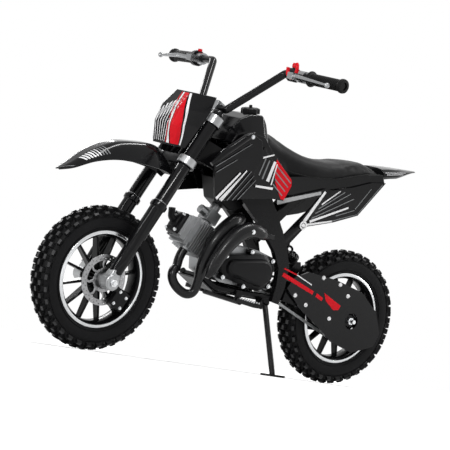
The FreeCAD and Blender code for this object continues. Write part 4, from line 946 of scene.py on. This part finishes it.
def make_engine():
    dressed("engine_case", "cast_alloy", "chassis", "alloy", 0.002)
    dressed("engine_cylinder", "cast_alloy", "chassis", "alloy", 0.0008)
    dressed("clutch_cover", "black_metal", "chassis", "black_metal", 0.003, 50, 3)
    dressed("recoil_starter", "dull_plastic", "chassis", "dull_plastic", 0.002)
    dressed("carburettor", "cast_alloy", "chassis", "alloy", 0.0015)
    dressed("skid_plate", "black_metal", "chassis", "black_metal", 0.0008)
    dressed("spark_plug", "dull_plastic", "chassis", "dull_plastic", 0.001)
    cap, bolts, end = [bmesh.new() for _ in range(3)]
    block(cap, (68, 60, 14), BORE @ moved(0, 0, 153), 0.86, 4)
    block(cap, (44, 38, 10), BORE @ moved(0, 0, 163), 0.8, 4)
    piece("cylinder_head_cap", cap, "dull_plastic", "chassis", "dull_plastic")
    for x, z in ((333, 330), (330, 258), (412, 346), (418, 246), (498, 322), (496, 262)):
        bolt(bolts, outward(x, 74, z), 4.6, 4)
    for across in (-20, 20):
        for ahead in (-25, 25):
            bolt(bolts, BORE @ moved(ahead, across, 158.5), 4, 4)
    piece("engine_bolts", bolts, "bright_metal", "chassis", "zinc")
    # The header starts at the cylinder's port
    back = BIKE.inverted() @ BORE
    header = [tuple(back @ Vector((reach, 12, 92))) for reach in (50, 74)]
    header += [(622, 24, 262), (636, 31, 258), (642, 36, 240), (634, 42, 221),
               (619, 49, 207), (598, 58, 197), (580, 63, 203), (572, 65, 222),
               (572, 66, 246)]
    piece("exhaust_header_pipe", swept(header, 13, BIKE, sides=7), "exhaust_black",
          "chassis", "exhaust_black", "exhaust_header")
    chamber = [(572, 66, 238), (570, 66.5, 266), (568, 67, 290), (560, 67.5, 318),
               (552, 68, 344), (538, 67, 369), (520, 66, 390), (503, 62, 407),
               (486, 58, 420), (472, 52, 427), (456, 45.5, 432)]
    radii = [13, 16, 18, 19.5, 21, 22, 23, 22, 21, 19, 16]
    piece("exhaust_chamber_pipe", swept(chamber, radii, BIKE, sides=8), "exhaust_black",
          "chassis", "exhaust_black", "exhaust_chamber")
    silencer = [(577, 109, 256), (575, 109, 262), (570, 110, 276), (563, 110.5, 296),
                (554, 111, 318), (542, 111, 341), (528, 111, 362), (510, 111, 382),
                (489, 111, 398), (469, 110.5, 405), (448, 110, 408), (430, 109, 405),
                (418, 108, 401), (404, 106, 394)]
    radii = [7, 9, 16, 19, 20, 21, 22, 23, 23, 23, 22, 20.5, 18, 10]
    can = swept(silencer, radii, BIKE, sides=8)
    block(can, (64, 4, 14), BIKE @ moved(382, 78, 397), 1, 1)
    spun(can, rod(7, 26), 20, outward(408, 80, 396))
    piece("silencer_can", can, "exhaust_black", "chassis", "exhaust_black", "silencer")
    bolt(end, outward(470, 132, 404), 5, 3)
    piece("silencer_bolt", end, "bright_metal", "chassis", "zinc")


class DIRTBIKE_OT_engine(bpy.types.Operator):
    """Engine, its covers and bolts, and the exhaust"""
    bl_idname = "dirt_bike.engine"
    bl_label = "Engine and exhaust"

    def execute(self, context):
        make_engine()
        return {"FINISHED"}


def shock():
    """The damper between its two eyes, and the spring round it."""
    foot, top = Vector((196, 0, 328)), Vector((358, 0, 466))
    run = top - foot
    long = run.length
    place = aimed(foot, run.normalized())
    bm = bmesh.new()
    body = [(0, 0), (9, 0), (9, 60), (15, 62), (15, long - 30), (15, long - 20), (0, long - 20)]
    spun(bm, body, 32, place)
    for low, high, wide in ((14, 20, 25), (long - 40, long - 32, 25), (long - 32, long - 26, 21)):
        spun(bm, sleeve(8, wide, low, high), 32, place)
    for at, radius, half in ((foot, 10, 14.6), (top, 17, 13.8)):
        spun(bm, sleeve(radius * 0.45, radius, -half, half), 28,
             BIKE @ moved(*at) @ turned(90, "X"))
    piece("shock_damper", bm, "black_metal", "chassis", "black_metal", "rear_shock")
    turns = sizes().spring_turns
    count = int(turns * 12)
    line = []
    for number in range(count + 1):
        angle = math.tau * turns * number / count
        line.append((20.5 * math.cos(angle), 20.5 * math.sin(angle),
                     23 + (long - 66) * number / count))
    coil = swept(line, 3.6, place, sides=3)
    piece("shock_spring", coil, "gloss_plastic", "chassis", "black_metal", smooth=60)


def chain():
    """Links and rollers laid round both sprockets."""
    driven, drive = Vector((0, AXLE_UP)), Vector((318, 262))
    large, small = 71.0, 25.0
    pitch, aside = 12.7, 43

    def on_circle(centre, radius, angle):
        return centre + radius * Vector((math.cos(angle), math.sin(angle)))

    span = drive - driven
    turn = math.atan2(span.y, span.x)
    opening = math.acos((large - small) / span.length)
    upper, lower = turn + opening, turn - opening
    runs = [(on_circle(driven, large, upper), on_circle(drive, small, upper)),
            (on_circle(drive, small, lower), on_circle(driven, large, lower))]
    straight = (runs[0][1] - runs[0][0]).length
    arc = small * 2 * opening
    whole = 2 * straight + arc + large * (math.tau - 2 * opening)
    count = 2 * int(whole / 2 / pitch)
    bm = bmesh.new()
    for number in range(count):
        # Along the upper run, round the small sprocket, the lower run and the large one
        reach = whole * number / count
        back = reach >= straight + arc
        past = reach - (straight + arc if back else 0)
        if past < straight:
            start, end = runs[back]
            spot = start.lerp(end, past / straight)
            heading = math.atan2(end.y - start.y, end.x - start.x)
        else:
            centre, radius, first = (driven, large, lower) if back else (drive, small, upper)
            angle = first - (past - straight) / radius
            spot = on_circle(centre, radius, angle)
            heading = angle - math.pi / 2
        at = BIKE @ moved(spot.x, aside, spot.y) @ Matrix.Rotation(-heading, 4, "Y")
        gap = 3.4 if number % 2 else 2.4
        for side in SIDES:
            block(bm, (13.4, 1, 7), at @ moved(0, side * gap, 0), 0.9)
        drum(bm, 3, 3, 7.6, 8, at @ moved(6.3, 0, 0) @ turned(90, "X"))
    piece("chain_links", bm, "cast_alloy", "chassis", "steel", "chain")


def make_chassis():
    dressed("frame", "frame_paint", "chassis", "frame_paint", 0.0014)
    dressed("swingarm", "frame_paint", "chassis", "frame_paint", 0.002)
    dressed("chain_guard", "gloss_plastic", "chassis", "black_plastic", 0.0016)
    dressed("rear_sprocket", "bright_metal", "rear_wheel", "steel", 0.0005)
    dressed("rear_caliper", "black_metal", "chassis", "black_metal", 0.002)
    dressed("foot_pegs", "black_metal", "chassis", "black_metal", 0.0012)
    dressed("side_stand", "black_metal", "side_stand", "black_metal", 0.0012)
    shock()
    chain()
    treads = bmesh.new()
    for side in SIDES:
        for number in range(7):
            for ahead in (-9.5, 9.5):
                at = moved(425 + ahead, side * (92 + number * 10.5), 213.6)
                block(treads, (4, 5, 4.4), BIKE @ at, 0.5)
    piece("peg_treads", treads, "bright_metal", "chassis", "zinc")


class DIRTBIKE_OT_chassis(bpy.types.Operator):
    """Frame, swingarm, shock, chain drive, pegs and stand"""
    bl_idname = "dirt_bike.chassis"
    bl_label = "Chassis and drive"

    def execute(self, context):
        make_chassis()
        return {"FINISHED"}


def lamp(name, place, aim, size, power):
    """A rectangular light that looks at a point."""
    light = bpy.data.lights.new(name, "AREA")
    light.shape = "RECTANGLE"
    light.size, light.size_y = size
    light.energy = power
    obj = linked(name, light)
    obj.location = place
    obj.rotation_mode = "QUATERNION"
    obj.rotation_quaternion = (Vector(aim) - Vector(place)).to_track_quat("-Z", "Y")


def seen(tree):
    """One where the camera or a reflection looks, otherwise nothing."""
    path = node(tree, "LightPath")
    total = path.outputs["Is Camera Ray"]
    for name in ("Is Glossy Ray", "Is Transmission Ray"):
        both = node(tree, "Math")
        both.operation = "MAXIMUM"
        tree.links.new(total, both.inputs[0])
        tree.links.new(path.outputs[name], both.inputs[1])
        total = both.outputs[0]
    return total


def surroundings():
    """A faint white light all round that looks bright white."""
    world = bpy.data.worlds.new("studio")
    world.use_nodes = True
    bpy.context.scene.world = world
    tree = world.node_tree
    faint = tree.nodes["Background"]
    faint.inputs["Color"].default_value = (1, 1, 1, 1)
    faint.inputs["Strength"].default_value = 0.16
    white = node(tree, "Background", Color=(1, 1, 1, 1), Strength=1)
    pick = node(tree, "MixShader")
    tree.links.new(seen(tree), pick.inputs["Fac"])
    tree.links.new(faint.outputs[0], pick.inputs[1])
    tree.links.new(white.outputs[0], pick.inputs[2])
    tree.links.new(pick.outputs[0], tree.nodes["World Output"].inputs["Surface"])


def floor():
    """A floor that fades to white away from the bike."""
    bm = bmesh.new()
    bmesh.ops.create_grid(bm, x_segments=4, y_segments=4, size=30)
    ground = linked("floor", mesh_of("floor", bm))
    material = bpy.data.materials.new("floor")
    material.use_nodes = True
    tree = material.node_tree
    shader = tree.nodes["Principled BSDF"]
    shader.inputs["Base Color"].default_value = (0.80, 0.80, 0.80, 1)
    shader.inputs["Roughness"].default_value = 0.9
    shader.inputs["Emission Color"].default_value = (1, 1, 1, 1)
    level, reach = node(tree, "Math"), node(tree, "VectorMath")
    level.operation = "MULTIPLY"
    reach.operation = "LENGTH"
    fade = node(tree, "MapRange", From_Min=0.6, From_Max=3.2, To_Min=0.16, To_Max=0.92)
    tree.links.new(node(tree, "TexCoord").outputs["Object"], reach.inputs[0])
    tree.links.new(reach.outputs["Value"], fade.inputs["Value"])
    tree.links.new(seen(tree), level.inputs[0])
    tree.links.new(fade.outputs["Result"], level.inputs[1])
    tree.links.new(level.outputs[0], shader.inputs["Emission Strength"])
    ground.data.materials.append(material)


def make_stage():
    scene = bpy.context.scene
    scene.view_settings.view_transform = "Standard"
    surroundings()
    floor()
    lamp("key", (3.2, 3.6, 3.0), (0, 0, 0.4), (1.4, 0.3), 100)
    lamp("side_strip", (4.6, 0.2, 1.5), (0.2, 0, 0.4), (0.12, 2.6), 62)
    lamp("top", (-0.4, 0.6, 3.4), (0, 0, 0.3), (3.0, 0.16), 80)
    lamp("back", (-3.6, 1.6, 2.0), (0, 0, 0.4), (0.15, 2.4), 55)
    lamp("far_side", (-0.5, -3.8, 2.4), (0, 0, 0.4), (2.4, 0.5), 55)
    data = bpy.data.cameras.new("camera")
    data.lens = 189.06
    data.sensor_width = 36
    data.clip_end = 200
    camera = linked("camera", data)
    # Place and directions of the camera that was fitted to the photo
    right = Vector((-0.77673, 0.61377, 0.14131)).normalized()
    back = right.cross(Vector((0.14575, -0.04311, 0.98838))).normalized()
    turn = Matrix((right, back.cross(right), back)).transposed().to_4x4()
    camera.matrix_world = moved(4.09814, 5.16878, 0.03) @ turn
    scene.camera = camera


class DIRTBIKE_OT_stage(bpy.types.Operator):
    """Pale floor, soft lights and the camera"""
    bl_idname = "dirt_bike.stage"
    bl_label = "Stage"

    def execute(self, context):
        make_stage()
        return {"FINISHED"}


class DIRTBIKE_PT_panel(bpy.types.Panel):
    """The bike's pieces and finishes"""
    bl_label = "Dirt Bike"
    bl_idname = "DIRTBIKE_PT_panel"
    bl_space_type = "VIEW_3D"
    bl_region_type = "UI"
    bl_category = "Dirt Bike"

    def draw(self, context):
        layout = self.layout
        for group in (context.scene.dirt_bike_sizes, context.scene.dirt_bike_colours):
            for name in group.__annotations__:
                layout.prop(group, name)
        for operator in OPERATORS:
            layout.operator(operator.bl_idname)


OPERATORS = (DIRTBIKE_OT_tyres, DIRTBIKE_OT_wheels, DIRTBIKE_OT_fork, DIRTBIKE_OT_controls,
             DIRTBIKE_OT_fenders, DIRTBIKE_OT_bodywork, DIRTBIKE_OT_graphics, DIRTBIKE_OT_seat,
             DIRTBIKE_OT_engine, DIRTBIKE_OT_chassis, DIRTBIKE_OT_stage)
CLASSES = (DirtBikeSizes, DirtBikeColours, *OPERATORS, DIRTBIKE_PT_panel)


def register():
    for kind in CLASSES:
        bpy.utils.register_class(kind)
    bpy.types.Scene.dirt_bike_sizes = bpy.props.PointerProperty(type=DirtBikeSizes)
    bpy.types.Scene.dirt_bike_colours = bpy.props.PointerProperty(type=DirtBikeColours)


def unregister():
    del bpy.types.Scene.dirt_bike_sizes
    del bpy.types.Scene.dirt_bike_colours
    for kind in reversed(CLASSES):
        bpy.utils.unregister_class(kind)


def main():
    register()
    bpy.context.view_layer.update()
    for operator in OPERATORS:
        getattr(bpy.ops.dirt_bike, operator.bl_idname.split(".")[1])()


if __name__ == "__main__":
    main()
